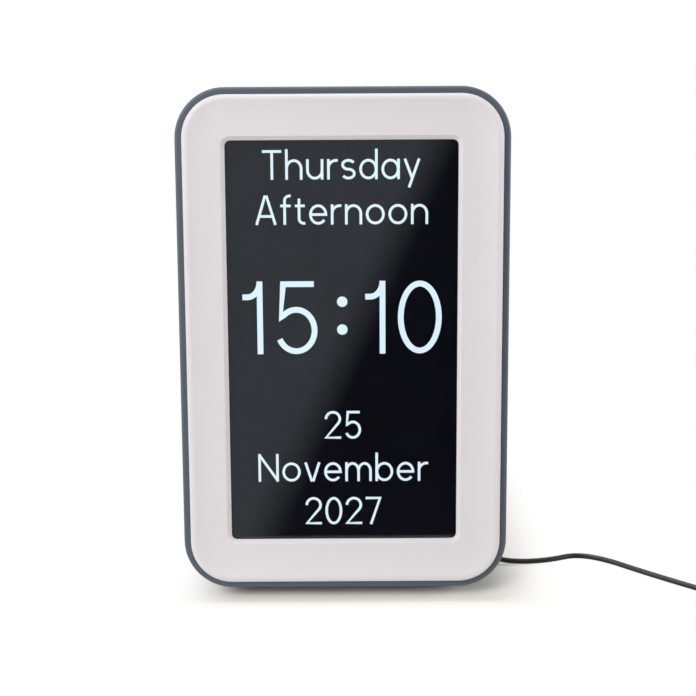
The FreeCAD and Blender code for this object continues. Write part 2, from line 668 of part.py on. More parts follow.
CORNER_BOSSES = [
    (side + BOSS_ACROSS, up) for side in ("", "-") for up in ("boss_margin", "case_height - boss_margin")
]
MIDDLE_BOSSES = [(side + BOSS_MIDDLE_ACROSS, MIDDLE_UP) for side in ("", "-")]
CASE_SCREWS = CORNER_BOSSES + MIDDLE_BOSSES
CLIP_POSTS = [
    (side + CLIP_POST_ACROSS, f"{MIDDLE_UP} {way} clip_rise") for side in ("", "-") for way in ("+", "-")
]
BOARD_POSTS = [
    (f"{side}(board_width / 2 - board_hole_inset)", f"{BOARD_UP} {way} (board_height / 2 - board_hole_inset)")
    for side in ("", "-")
    for way in ("+", "-")
]
KEY_POSTS = [(side + KEY_POST_ACROSS, BUTTON_UP) for side in ("", "-")]
POWER_POSTS = [(f"{JACK_ACROSS} {way} power_post_across", "jack_up + power_post_up") for way in ("+", "-")]
SMALL_SCREW = ("small_head", "small_head_tall", "small_shank", "small_length")
CASE_SCREW = ("screw_head", "screw_head_tall", "screw_shank", "screw_length")


def button_across(k):
    return f"{k - (len(BUTTONS) - 1) / 2} * button_pitch" if k != len(BUTTONS) // 2 else FLAT


BUTTON_PLACES = [(button_across(k), BUTTON_UP) for k in range(len(BUTTONS))]


# Rear housing: a moulded tub with a rounded back, a recess for the stand, bosses, posts, and its openings
def make_rear_housing():
    body = new_body("rear_housing")
    outline = sketch(body, "case_outline")
    draw_rounded(outline, "case_width", "case_height", "case_corner", y=MIDDLE_UP)
    pad(body, outline, "case_depth")
    fillet(body, "back_round", flat_at(0))
    fillet(body, "rim_round", flat_at(size("case_depth")))
    hollow = sketch(body, "case_hollow", z="back_wall")
    draw_rounded(
        hollow, "(case_width - 2 * wall)", "(case_height - 2 * wall)", "(case_corner - wall)", y=MIDDLE_UP
    )
    pocket(body, hollow, "case_depth", upward=True)
    recess_tall = f"({RECESS_HIGH} - {RECESS_LOW})"
    recess_up = f"({RECESS_HIGH} + {RECESS_LOW}) / 2"
    shell = sketch(body, "recess_shell", z="back_wall")
    draw_rounded(
        shell,
        f"({RECESS_WIDTH} + 2 * recess_wall)",
        f"({recess_tall} + 2 * recess_wall)",
        "(recess_corner + recess_wall)",
        y=recess_up,
    )
    pad(body, shell, "recess_deep + recess_floor - back_wall")
    recess = sketch(body, "stand_recess")
    draw_rounded(recess, RECESS_WIDTH, recess_tall, "recess_corner", y=recess_up)
    pocket(body, recess, "recess_deep", upward=True)
    axle = sketch(body, "axle_holes", role="YZ_Plane")
    draw_circle(axle, "pin_radius + pin_hold", HINGE_UP, "hinge_in")
    pocket(body, axle, f"{RECESS_WIDTH} + 2 * pin_in_wall", midplane=True)

    add_posts(body, "case_bosses", CASE_SCREWS, "boss_radius", "back_wall", "bezel_seat - back_wall")
    add_posts(body, "board_posts", BOARD_POSTS, "post_radius", "back_wall", "board_level - back_wall")
    add_posts(body, "key_posts", KEY_POSTS, "switch_nub", "back_wall", f"{KEY_LEVEL} - back_wall")
    add_posts(body, "power_posts", POWER_POSTS, "switch_nub", "back_wall", f"{POWER_LEVEL} - back_wall")
    cut_holes(body, "case_screw_heads", CASE_SCREWS, "screw_head + screw_room", FLAT, "screw_seat")
    cut_holes(body, "case_screw_holes", CASE_SCREWS, "screw_shank + screw_room", "screw_seat", "bezel_seat")
    pilot = "(small_length + pilot_spare)"
    for name, places, level in (
        ("board_pilots", BOARD_POSTS, f"{BOARD_TOP} - {pilot}"),
        ("key_pilots", KEY_POSTS, f"{KEY_TOP} - {pilot}"),
        ("power_pilots", POWER_POSTS, f"{POWER_TOP} - {pilot}"),
    ):
        cut_holes(body, name, places, "small_shank + thread_gap", level, pilot)

    cut_holes(body, "button_holes", BUTTON_PLACES, "button_radius + button_gap", FLAT, "back_wall")
    cut_holes(body, "jack_hole", [(JACK_ACROSS, "jack_up")], "jack_mouth", FLAT, "back_wall")
    slots = round(size("grille_radius") / size("grille_pitch"))
    grille = sketch(body, "speaker_grille")
    for k in range(-slots, slots + 1):
        reach = f"2 * sqrt(grille_radius ^ 2 - ({abs(k)} * grille_pitch) ^ 2) * 0.96"
        draw_slot(grille, "grille_slot", f"({reach})", f"{k} * grille_pitch", SPEAKER_UP)
    pocket(body, grille, "back_wall", upward=True)
    for side in ("", "-"):
        name = "left" if side else "right"
        cut_holes(body, f"keyhole_{name}", [(side + HANG_ACROSS, HANG_UP)], "hang_head", FLAT, "back_wall")
        neck = sketch(body, f"keyhole_neck_{name}")
        neck_tall = "(hang_rise + hang_slot_width / 2)"
        draw_slot(neck, "hang_slot_width", neck_tall, side + HANG_ACROSS, f"({HANG_UP} + {neck_tall} / 2)")
        pocket(body, neck, "back_wall", upward=True)
    vent = sketch(body, "vent_slot", x="-(vent_count - 1) / 2 * vent_pitch", y=VENT_UP)
    draw_slot(vent, "vent_slot", "vent_long")
    slot = pocket(body, vent, "back_wall", upward=True)
    vents = body.newObject("PartDesign::LinearPattern", "vent_row")
    vents.Originals = [slot]
    across = next(f for f in body.Origin.OriginFeatures if f.Role == "X_Axis")
    vents.Direction = (across, [""])
    bind(vents, "Length", "(vent_count - 1) * vent_pitch")
    bind(vents, "Occurrences", "vent_count")
    body.Tip = vents
    doc.recompute()
    in_case(body)


# Front bezel: rounded outside its crest, dished towards the window, with a skirt and bosses behind
def make_front_bezel():
    body = new_body("front_bezel")
    outline = sketch(body, "bezel_outline", z="bezel_seat")
    draw_rounded(outline, BEZEL_WIDTH, BEZEL_HEIGHT, BEZEL_CORNER, y=MIDDLE_UP)
    pad(body, outline, "crest_level - bezel_seat")
    fillet(body, "crest_round", flat_at(size("crest_level")))
    rings = []
    for name, inset, drop in (
        ("dish_crest", "crest_inset", FLAT),
        ("dish_steep_line", "steep_inset", "steep_drop"),
        ("dish_slack_line", "slack_inset", "slack_drop"),
    ):
        ring = sketch(body, name, z=f"crest_level - {drop}")
        draw_rounded(
            ring,
            f"({BEZEL_WIDTH} - 2 * {inset})",
            f"({BEZEL_HEIGHT} - 2 * {inset})",
            f"({BEZEL_CORNER} - {inset})",
            y=MIDDLE_UP,
        )
        rings.append(ring)
    land = sketch(body, "dish_land_line", z="crest_level - dish_drop")
    draw_rounded(
        land,
        f"({WINDOW_WIDTH} + 2 * dish_land)",
        f"({WINDOW_HEIGHT} + 2 * dish_land)",
        "(window_corner + dish_land)",
        "window_shift",
        WINDOW_UP,
    )
    doc.recompute()
    before = volume_of(body)
    dish = body.newObject("PartDesign::SubtractiveLoft", "dish")
    dish.Profile = rings[0]
    dish.Sections = rings[1:] + [land]
    body.Tip = dish
    doc.recompute()
    if volume_of(body) >= before:
        raise RuntimeError("the dish cuts nothing")
    window = sketch(body, "window", z="bezel_seat")
    draw_rounded(window, WINDOW_WIDTH, WINDOW_HEIGHT, "window_corner", "window_shift", WINDOW_UP)
    pocket(body, window, "crest_level - bezel_seat", upward=True)
    land_level = value_of("crest_level - dish_drop")
    spare = size("dish_land") / 2
    half = value_of(f"{WINDOW_WIDTH} / 2 - window_shift") + spare
    tall = value_of(f"{WINDOW_HEIGHT} / 2") + spare
    centre_up = value_of(WINDOW_UP)

    def round_window(edge):
        box = edge.BoundBox
        inside = max(abs(box.XMin), abs(box.XMax)) < half and max(
            abs(box.YMin - centre_up), abs(box.YMax - centre_up)
        ) < tall
        return flat_at(land_level)(edge) and inside

    chamfer(body, "window_chamfer", round_window)
    hollow = sketch(body, "bezel_hollow", z="bezel_seat")
    draw_rounded(
        hollow,
        f"({BEZEL_WIDTH} - 2 * bezel_wall)",
        f"({BEZEL_HEIGHT} - 2 * bezel_wall)",
        f"({BEZEL_CORNER} - bezel_wall)",
        y=MIDDLE_UP,
    )
    pocket(body, hollow, "plate_back - bezel_seat", upward=True)
    add_posts(body, "bezel_bosses", CASE_SCREWS, "bezel_boss_radius", "bezel_seat", "plate_back - bezel_seat")
    add_posts(body, "clip_posts", CLIP_POSTS, "post_radius", TRAY_LEVEL, f"plate_back - {TRAY_LEVEL}")
    depth = "screw_seat + screw_length + pilot_spare - bezel_seat"
    cut_holes(body, "case_pilots", CASE_SCREWS, "screw_shank + thread_gap", "bezel_seat", depth)
    clip_depth = "small_length + pilot_spare - clip_thick"
    cut_holes(body, "clip_pilots", CLIP_POSTS, "small_shank + thread_gap", TRAY_LEVEL, clip_depth)
    in_case(body)


def make_screws(label, places, seat, head, head_tall, shank, length, outward):
    """Screws as plain shanks with plain round heads, which face the back of the case where outward is set."""
    body = new_body(label)
    if outward:
        add_posts(body, label + "_shanks", places, shank, seat, length)
        add_posts(body, label + "_heads", places, head, f"{seat} - {head_tall}", head_tall)
    else:
        add_posts(body, label + "_shanks", places, shank, f"{seat} - {length}", length)
        add_posts(body, label + "_heads", places, head, seat, head_tall)
    in_case(body)
    return body


# Lens, its adhesive frame, and the display module in its steel tray
def make_display():
    lens_width = f"({WINDOW_WIDTH} + 2 * lens_border)"
    lens_height = f"({WINDOW_HEIGHT} + 2 * lens_border)"
    middle = ("window_shift", WINDOW_UP)
    slab("display_lens", lens_width, lens_height, "window_corner", LENS_LEVEL, "lens_thick", *middle)
    tape = slab(
        "lens_tape",
        f"({lens_width} - 2 * tape_inset)",
        f"({lens_height} - 2 * tape_inset)",
        "window_corner",
        "plate_back - tape_thick",
        "tape_thick",
        "window_shift",
        WINDOW_UP,
    )
    opening = sketch(tape, "lens_tape_window", z="plate_back - tape_thick")
    draw_rounded(
        opening,
        f"({WINDOW_WIDTH} + 2 * tape_inset)",
        f"({WINDOW_HEIGHT} + 2 * tape_inset)",
        "window_corner",
        "window_shift",
        WINDOW_UP,
    )
    pocket(tape, opening, "tape_thick", upward=True)
    slab("display_cell", CELL_WIDTH, CELL_HEIGHT, "tray_wall", CELL_LEVEL, "cell_thick", *middle)

    inner_width = f"({FRAME_WIDTH} - 2 * frame_wall)"
    inner_height = f"({FRAME_HEIGHT} - 2 * frame_wall)"
    frame = slab(
        "module_frame",
        FRAME_WIDTH,
        FRAME_HEIGHT,
        "tray_wall",
        REFLECTOR_LEVEL,
        f"{CELL_LEVEL} - {REFLECTOR_LEVEL}",
        "window_shift",
        WINDOW_UP,
    )
    inside = sketch(frame, "module_frame_inside", z=REFLECTOR_LEVEL)
    draw_rounded(inside, inner_width, inner_height, "tray_wall", "window_shift", WINDOW_UP)
    pocket(frame, inside, f"{CELL_LEVEL} - {REFLECTOR_LEVEL}", upward=True)

    sheet_width = f"({inner_width} - 2 * sheet_gap)"
    sheet_height = f"({inner_height} - 2 * sheet_gap)"
    guide_height = f"({sheet_height} - strip_tall - sheet_gap)"
    guide_up = f"({WINDOW_UP} + (strip_tall + sheet_gap) / 2)"
    strip_up = f"({WINDOW_UP} - {sheet_height} / 2 + strip_tall / 2)"
    for label, height, level, thick, up in (
        ("diffuser_sheet", sheet_height, DIFFUSER_LEVEL, "diffuser_thick", WINDOW_UP),
        ("light_guide", guide_height, GUIDE_LEVEL, "guide_thick", guide_up),
        ("reflector_sheet", sheet_height, REFLECTOR_LEVEL, "reflector_thick", WINDOW_UP),
        ("light_strip", "strip_tall", GUIDE_LEVEL, "guide_thick", strip_up),
    ):
        corner = "(strip_tall / 4)"
        slab(label, sheet_width, height, corner, level, thick, "window_shift", up)

    tray_width = f"({FRAME_WIDTH} + 2 * tray_wall)"
    tray_height = f"({FRAME_HEIGHT} + 2 * tray_wall)"
    tray_corner = "(2 * tray_wall)"
    tray = slab(
        "module_tray", tray_width, tray_height, tray_corner, TRAY_LEVEL, "tray_thick + tray_lip", *middle
    )
    hollow = sketch(tray, "module_tray_hollow", z=REFLECTOR_LEVEL)
    draw_rounded(hollow, FRAME_WIDTH, FRAME_HEIGHT, "tray_wall", "window_shift", WINDOW_UP)
    pocket(tray, hollow, "tray_thick + tray_lip", upward=True)

    clips = new_body("panel_clips")
    for k, (side, way) in enumerate([("", "+"), ("", "-"), ("-", "+"), ("-", "-")]):
        outline = sketch(clips, f"clip_{k}", z=CLIP_LEVEL)
        clip_up = f"{MIDDLE_UP} {way} clip_rise"
        draw_rounded(outline, "clip_long", "clip_tall", "clip_thick", side + CLIP_ACROSS, clip_up)
        pad(clips, outline, "clip_thick")
    cut_holes(clips, "clip_holes", CLIP_POSTS, "small_shank + small_room", CLIP_LEVEL, "clip_thick")
    in_case(clips)


def make_strip(label, width, across, points):
    """A thin ribbon across x whose side view is an outline of y and z."""
    body = new_body(label)
    side = sketch(body, label + "_side", role="YZ_Plane", z=across)
    draw_outline(side, points)
    pad(body, side, width, midplane=True)
    in_case(body)


# Main board with its parts, coin cell, connectors and ribbons
def make_boards():
    board = slab(
        "main_board", "board_width", "board_height", "tray_thick", "board_level", "board_thick", y=BOARD_UP
    )
    cut_holes(board, "board_holes", BOARD_POSTS, "small_shank + small_room", "board_level", "board_thick")
    chip_across = "-0.04 * board_width"
    chip = block("processor", "chip_side", "chip_side", "chip_thick", chip_across, BOARD_UP, BOARD_TOP)
    keep(chip, "processor_chip")
    memory_across = "(0.175 * board_width)"
    memory = ("memory_width", "memory_height", "memory_thick")
    block_group(
        "memory_chips",
        [
            (*memory, memory_across, BOARD_UP, BOARD_TOP),
            (*memory, f"({memory_across} + 1.4 * memory_width)", BOARD_UP, BOARD_TOP),
        ],
    )
    inductor = ("coil_part_side", "coil_part_side", "coil_part_thick")
    high = f"({BOARD_UP} + board_height / 2 - coil_part_side)"
    block_group(
        "board_inductors",
        [
            (*inductor, "(board_width / 2 - 2.4 * coil_part_side)", high, BOARD_TOP),
            (*inductor, "(board_width / 2 - 3.7 * coil_part_side)", high, BOARD_TOP),
        ],
    )
    cell_place = [("-(board_width / 2 - 2.4 * cell_case_radius)", f"({BOARD_UP} - 0.2 * board_height)")]
    holder = new_body("cell_holder")
    holder_tall = "holder_floor + 0.8 * cell_case_thick"
    holder_bore = "cell_case_radius + sheet_gap"
    cell_level = f"{BOARD_TOP} + holder_floor"
    add_posts(holder, "holder_cup", cell_place, f"{holder_bore} + holder_wall", BOARD_TOP, holder_tall)
    cut_holes(holder, "holder_hollow", cell_place, holder_bore, cell_level, holder_tall)
    in_case(holder)
    cell = new_body("coin_cell")
    add_posts(cell, "cell_case", cell_place, "cell_case_radius", cell_level, "cell_case_thick")
    in_case(cell)

    plug_up = f"({BOARD_UP} - board_height / 2 + ribbon_plug_tall)"
    plug_size = ("ribbon_plug_width", "ribbon_plug_tall", "ribbon_plug_thick")
    keep(block("ribbon_plug", *plug_size, FLAT, plug_up, BOARD_TOP), "ribbon_connector")
    plug_edge = f"({plug_up} - ribbon_plug_tall / 2)"
    enter = f"({BOARD_TOP} + ribbon_plug_thick / 2)"
    make_strip(
        "display_ribbon",
        "ribbon_width",
        FLAT,
        [
            (f"{plug_edge} - ribbon_fall - ribbon_grip", TRAY_LEVEL),
            (f"{plug_edge} - ribbon_fall", TRAY_LEVEL),
            (f"{plug_edge} - 1", f"{enter} + ribbon_thick"),
            (plug_edge, f"{enter} + ribbon_thick"),
            (plug_edge, enter),
            (f"{plug_edge} - 1 - ribbon_thick", enter),
            (f"{plug_edge} - ribbon_fall - ribbon_thick", f"{TRAY_LEVEL} - ribbon_thick"),
            (f"{plug_edge} - ribbon_fall - ribbon_grip", f"{TRAY_LEVEL} - ribbon_thick"),
        ],
    )
    key_edge = f"({BUTTON_UP} - key_board_height / 2)"
    board_edge = f"({BOARD_UP} + board_height / 2)"
    make_strip(
        "key_ribbon",
        "key_ribbon_width",
        FLAT,
        [
            (f"{board_edge} - key_ribbon_grip", BOARD_TOP),
            (board_edge, BOARD_TOP),
            (key_edge, KEY_TOP),
            (f"{key_edge} + key_ribbon_grip", KEY_TOP),
            (f"{key_edge} + key_ribbon_grip", f"{KEY_TOP} + ribbon_thick"),
            (key_edge, f"{KEY_TOP} + ribbon_thick"),
            (board_edge, f"{BOARD_TOP} + ribbon_thick"),
            (f"{board_edge} - key_ribbon_grip", f"{BOARD_TOP} + ribbon_thick"),
        ],
    )
    make_screws("board_screws", BOARD_POSTS, BOARD_TOP, *SMALL_SCREW, False)


# Key board, its switches and the five push buttons
def make_keys():
    outline = (KEY_BOARD_WIDTH, "key_board_height", "tray_thick")
    board = slab("key_board", *outline, KEY_LEVEL, "key_board_thick", y=BUTTON_UP)
    cut_holes(board, "key_board_holes", KEY_POSTS, "small_shank + small_room", KEY_LEVEL, "key_board_thick")
    make_screws("key_board_screws", KEY_POSTS, KEY_TOP, *SMALL_SCREW, False)
    switches = block_group(
        "key_switches",
        [("switch_side", "switch_side", "switch_tall", x, BUTTON_UP, SWITCH_LEVEL) for x, _ in BUTTON_PLACES],
    )
    add_posts(switches, "switch_nubs", BUTTON_PLACES, "switch_nub", NUB_LEVEL, "switch_nub_tall")
    for k, label in enumerate(BUTTONS):
        body = new_body(label)
        profile = sketch(body, label + "_profile", role="XZ_Plane")
        cap = "-button_proud"
        draw_outline(
            profile,
            [
                (FLAT, f"{cap} + button_dish"),
                ("0.55 * button_radius", f"{cap} + button_dish"),
                ("0.85 * button_radius", cap),
                ("0.93 * button_radius", cap),
                ("button_radius", f"{cap} + 0.07 * button_radius"),
                ("button_radius", "back_wall + flange_gap"),
                ("button_flange", "back_wall + flange_gap"),
                ("button_flange", FLANGE_TOP),
                (FLAT, FLANGE_TOP),
            ],
        )
        turn_profile(body, profile, "V_Axis")
        in_case(body, button_across(k), BUTTON_UP)


# Speaker behind its grille: foam ring, frame, cone and magnet on one axis
def make_speaker():
    seat = "back_wall + speaker_seal"
    basket = f"{seat} + speaker_rim + speaker_deep"
    ring = new_body("speaker_seal_ring")
    place = [(FLAT, SPEAKER_UP)]
    add_posts(ring, "seal_outside", place, "speaker_radius", "back_wall", "speaker_seal")
    cut_holes(ring, "seal_inside", place, "grille_radius + frame_skin", "back_wall", "speaker_seal")
    in_case(ring)
    profiles = {
        "speaker_frame": [
            ("grille_radius + frame_skin", seat),
            ("speaker_radius", seat),
            ("speaker_radius", f"{seat} + speaker_rim"),
            ("grille_radius + 2 * frame_skin", f"{seat} + speaker_rim"),
            ("basket_radius", basket),
            ("magnet_radius / 2", basket),
            ("magnet_radius / 2", f"{basket} - frame_skin"),
            ("basket_radius - frame_skin", f"{basket} - frame_skin"),
            ("grille_radius + frame_skin", f"{seat} + speaker_rim"),
        ],
        "speaker_cone": [
            (FLAT, f"{seat} + speaker_rim"),
            ("magnet_radius / 2", f"{seat} + speaker_rim + speaker_deep / 3"),
            ("grille_radius", f"{seat} + cone_skin"),
            ("grille_radius + frame_skin", f"{seat} + cone_skin"),
            ("grille_radius + frame_skin", f"{seat} + 2 * cone_skin"),
            ("grille_radius", f"{seat} + 2 * cone_skin"),
            ("magnet_radius / 2", f"{seat} + speaker_rim + speaker_deep / 3 + cone_skin"),
            (FLAT, f"{seat} + speaker_rim + cone_skin"),
        ],
        "speaker_magnet": [
            (FLAT, basket),
            ("magnet_radius", basket),
            ("magnet_radius", f"{basket} + magnet_thick"),
            (FLAT, f"{basket} + magnet_thick"),
        ],
    }
    for label, points in profiles.items():
        body = new_body(label)
        profile = sketch(body, label + "_profile", role="XZ_Plane")
        draw_outline(profile, points)
        turn_profile(body, profile, "V_Axis")
        if label == "speaker_frame":
            tab = sketch(body, "solder_tab", z=seat)
            near = f"{TAB_MIDDLE} - speaker_tab / 2"
            far = f"{TAB_MIDDLE} + speaker_tab / 2"
            draw_outline(tab, [(near, near), (far, near), (far, far), (near, far)])
            pad(body, tab, "speaker_rim")
        in_case(body, FLAT, SPEAKER_UP)


# Fold-out stand: a ribbed leg on two pins, open against the lip of its recess, with a rubber bar on its tip.
# The leg's own frame has its hinge along x and its length along y as it lies folded.
def make_stand():
    leg = new_body("stand_leg")
    plan = sketch(leg, "leg_plan", z="-leg_outer")
    tip = f"{LEG_REACH} + pad_grip - pad_radius"
    draw_outline(
        plan,
        [
            ("-leg_width / 2", FLAT),
            ("leg_width / 2", FLAT),
            ("leg_width / 2", f"leg_straight * {LEG_REACH}"),
            ("leg_tip_width / 2", tip),
            ("-leg_tip_width / 2", tip),
            ("-leg_width / 2", f"leg_straight * {LEG_REACH}"),
        ],
    )
    pad(leg, plan, "leg_outer + leg_inner")
    inner_rib = "notch_width / 2 + leg_rib_width"
    for k, x in enumerate(("leg_tip_width / 2", inner_rib, f"-({inner_rib})", "-leg_tip_width / 2")):
        rib = sketch(leg, f"leg_rib_{k}", z="leg_inner")
        edge = "- leg_rib_width" if k < 2 else "+ leg_rib_width"
        draw_outline(
            rib,
            [
                (x, "leg_outer"),
                (x, f"{tip} - pad_radius - leg_rib_width"),
                (f"{x} {edge}", f"{tip} - pad_radius - leg_rib_width"),
                (f"{x} {edge}", "leg_outer"),
            ],
        )
        pad(leg, rib, "leg_rib")
    knuckle = sketch(leg, "leg_knuckle", role="YZ_Plane")
    draw_circle(knuckle, "leg_outer")
    pad(leg, knuckle, "leg_width", midplane=True)
    notch = sketch(leg, "leg_notch", z="-leg_outer")
    draw_rounded(notch, "notch_width", "(2 * notch_deep)", "(notch_width / 8)")
    pocket(leg, notch, "3 * leg_outer", upward=True)
    pull = sketch(leg, "leg_finger_slot", z="-leg_outer")
    draw_rounded(pull, "pull_width", "pull_tall", f"(pull_tall * {SLOT_END})", y=f"pull_share * {LEG_REACH}")
    pocket(leg, pull, "leg_outer + leg_inner", upward=True)
    bores = sketch(leg, "leg_bores", role="YZ_Plane")
    draw_circle(bores, "pin_radius + pin_fit")
    pocket(leg, bores, "leg_width", midplane=True)
    swing = ((1, 0, 0), "-open_angle")
    in_case(leg, FLAT, HINGE_UP, "hinge_in", *swing)

    bar = new_body("stand_pad")
    round_bar = sketch(bar, "pad_round", role="YZ_Plane", x=LEG_REACH, y=LEG_MIDDLE)
    draw_circle(round_bar, "pad_radius")
    pad(bar, round_bar, "leg_tip_width", midplane=True)
    slot = sketch(bar, "pad_slot", role="YZ_Plane")
    low_edge = f"{LEG_REACH} - 2 * pad_radius"
    draw_outline(
        slot, [(low_edge, "-leg_outer"), (tip, "-leg_outer"), (tip, "leg_inner"), (low_edge, "leg_inner")]
    )
    pocket(bar, slot, "leg_width", midplane=True)
    in_case(bar, FLAT, HINGE_UP, "hinge_in", *swing)

    pins = new_body("stand_pins")
    for side, start in (
        ("right", f"{RECESS_WIDTH} / 2 - pin_in_leg"),
        ("left", f"-{RECESS_WIDTH} / 2 - pin_in_wall"),
    ):
        end = sketch(pins, f"pin_{side}", role="YZ_Plane", z=start)
        draw_circle(end, "pin_radius")
        pad(pins, end, "pin_in_leg + pin_in_wall")
    in_case(pins, FLAT, HINGE_UP, "hinge_in")


# Rubber foot: a wedge between the leaning underside of the case and the table
def make_foot():
    body = new_body("base_foot")
    side = sketch(body, "foot_side", role="YZ_Plane")
    front = f"lift + ({FOOT_BACK} + foot_deep / 2) * tan(lean)"
    back = f"lift + ({FOOT_BACK} - foot_deep / 2) * tan(lean)"
    near, far = "-foot_deep / 2", "foot_deep / 2"
    draw_outline(side, [(near, FLAT), (far, FLAT), (far, back), (near, front)])
    pad(body, side, FOOT_WIDTH, midplane=True)
    half = value_of(FOOT_WIDTH) / 2

    def upright_corner(edge):
        box = edge.BoundBox
        upright = box.ZLength > 1e-3 and box.XLength < 1e-4 and box.YLength < 1e-4
        return upright and abs(abs(box.XMin) - half) < 1e-3

    fillet(body, "foot_corner", upright_corner)
    on_table(body)


# Supply socket on its own board, and the angled plug that stands in it
def make_supply():
    socket = (JACK_ACROSS, "jack_up")
    jack = slab("supply_socket", "jack_side", "jack_side", "tray_thick", "back_wall", "jack_deep", *socket)
    cut_holes(jack, "socket_bore", [socket], "jack_bore", "back_wall", "jack_deep - jack_floor")
    contact = new_body("socket_contact")
    pin_length = "jack_deep - 2 * jack_floor"
    add_posts(contact, "contact_pin", [socket], "jack_contact", "back_wall + jack_floor", pin_length)
    in_case(contact)
    board_up = "(jack_up + power_board_height / 2 - jack_side / 2)"
    board = slab(
        "power_board",
        "power_board_width",
        "power_board_height",
        "tray_thick",
        POWER_LEVEL,
        "power_board_thick",
        JACK_ACROSS,
        board_up,
    )
    cut_holes(board, "power_holes", POWER_POSTS, "small_shank + small_room", POWER_LEVEL, "power_board_thick")
    make_screws("power_board_screws", POWER_POSTS, POWER_TOP, *SMALL_SCREW, False)

    sleeve = new_body("plug_sleeve")
    sleeve_end = f"{POWER_LEVEL} - jack_floor - sleeve_spare"
    add_posts(sleeve, "sleeve_outside", [socket], "sleeve_radius", "-plug_gap", f"{sleeve_end} + plug_gap")
    cut_holes(sleeve, "sleeve_inside", [socket], "sleeve_bore", "jack_floor", sleeve_end)
    in_case(sleeve)

    plug = new_body("plug_moulding")
    arm = sketch(plug, "plug_arm_side", z="-plug_arm_in")
    draw_outline(
        arm,
        [
            ("-plug_collar", FLAT),
            ("-plug_collar", "0.6 * plug_arm"),
            ("-0.7 * plug_collar", "plug_arm"),
            ("plug_arm_long", "plug_arm"),
            ("plug_arm_long + plug_arm - relief_root", "relief_root"),
            ("plug_reach", "relief_tip"),
            ("plug_reach", FLAT),
        ],
    )
    turn_profile(plug, arm)
    collar = sketch(plug, "plug_collar_round", z="-plug_gap")
    draw_circle(collar, "plug_collar")
    pad(plug, collar, "plug_arm_in - plug_gap", down=True)
    in_case(plug, *socket, FLAT, (0, 0, 1), "-plug_turn")


def shape_part(label, shape):
    made = doc.addObject("Part::Feature", label + "_shape")
    made.Shape = shape
    return keep(made, label)


def run_and_arc_wire(points, name):
    """Straight runs joined by tangent arcs, each as large as its two runs allow, and their whole length."""
    bends = []
    for before, here, after in zip(points, points[1:], points[2:]):
        arrive, leave = here - before, after - here
        turn = arrive.getAngle(leave)
        reach = 0.45 * min(arrive.Length, leave.Length)
        radius = reach / math.tan(turn / 2)
        arrive.normalize()
        leave.normalize()
        start, end = here - arrive * reach, here + leave * reach
        inward = (leave - arrive).normalize()
        centre = here + inward * (radius / math.cos(turn / 2))
        bends.append((start, centre - inward * radius, end, radius, math.degrees(turn)))
    print(name, "bend radii", [round(b[3], 1) for b in bends], "turns", [round(b[4]) for b in bends])
    edges = []
    last = points[0]
    for start, middle, end, _, _ in bends:
        edges.append(Part.LineSegment(last, start).toShape())
        edges.append(Part.Arc(start, middle, end).toShape())
        last = end
    edges.append(Part.LineSegment(last, points[-1]).toShape())
    wire = Part.Wire(edges)
    return wire, wire.Length


def sweep_round(wire, radius, name):
    """A round tube along a wire, with its volume compared with its section times its length."""
    start = wire.Edges[0].valueAt(wire.Edges[0].FirstParameter)
    along = wire.Edges[0].tangentAt(wire.Edges[0].FirstParameter)
    ring = Part.Wire([Part.Circle(start, along, radius).toShape()])
    tube = wire.makePipeShell([ring], True, False)
    expected = math.pi * radius ** 2 * wire.Length
    share = tube.Volume / expected
    print(name, "length", round(wire.Length, 1), "volume over section times length", round(share, 5))
    if not tube.isValid() or abs(share - 1) > 0.01:
        raise RuntimeError(f"{name} is not a sound tube")
    return tube


def make_inner_leads():
    doc.recompute()
    for label, route in (("power_lead", POWER_LEAD_ROUTE), ("speaker_lead", SPEAKER_LEAD_ROUTE)):
        wire, _ = run_and_arc_wire([Vector(*map(value_of, point)) for point in route], label)
        lead = shape_part(label, sweep_round(wire, size("lead_radius"), label))
        in_case(lead)


def arc_pair(start, along_start, end, along_end):
    """Two tangent arcs from one point and direction to another."""
    chord = end - start
    both = along_start + along_end
    spread = 2 * (1 - along_start.dot(along_end))
    reach = (-chord.dot(both) + math.sqrt(chord.dot(both) ** 2 + spread * chord.dot(chord))) / spread
    join = (start + along_start * reach + end - along_end * reach) * 0.5
    edges = []
    for first, direction, last in ((start, along_start, join), (end, along_end * -1, join)):
        step = last - first
        side = step - direction * step.dot(direction)
        side.normalize()
        radius = step.dot(step) / (2 * step.dot(side))
        centre = first + side * radius
        middle = centre + ((first + last) * 0.5 - centre).normalize() * radius
        edges.append(Part.Arc(first, middle, last) if first is start else Part.Arc(last, middle, first))
    return [edge.toShape() for edge in edges]


def coil_point(turn):
    """The coil's middle line: it spirals in and out at a steady rate and climbs where the spiral reverses."""
    layer = size("layer_turns")
    climb = 0.5
    pitch = 2 * size("cord_radius") + size("coil_gap")
    period = layer + climb
    phase = (turn + climb / 2) % (2 * period)
    inward = min(phase, 2 * period - phase) - climb / 2
    radius = size("coil_mean") + pitch * layer / 2 - pitch * inward
    whole, part = divmod(turn, period)
    rise = max(0.0, (part - layer) / climb)
    level = whole + rise - math.sin(2 * math.pi * rise) / (2 * math.pi)
    angle = math.pi + 2 * math.pi * turn
    base = size("tie_thick") + size("tie_gap") + size("cord_radius")
    return Vector(
        size("coil_across") + radius * math.cos(angle),
        -size("coil_front") + radius * math.sin(angle),
        base + pitch * level,
    )


def coil_turns():
    layers = round(size("layer_count"))
    return layers * size("layer_turns") + (layers - 1) * 0.5


def coil_direction(turn):
    step = 1e-4
    low, high = max(0.0, turn - step), min(coil_turns(), turn + step)
    return (coil_point(high) - coil_point(low)).normalize()


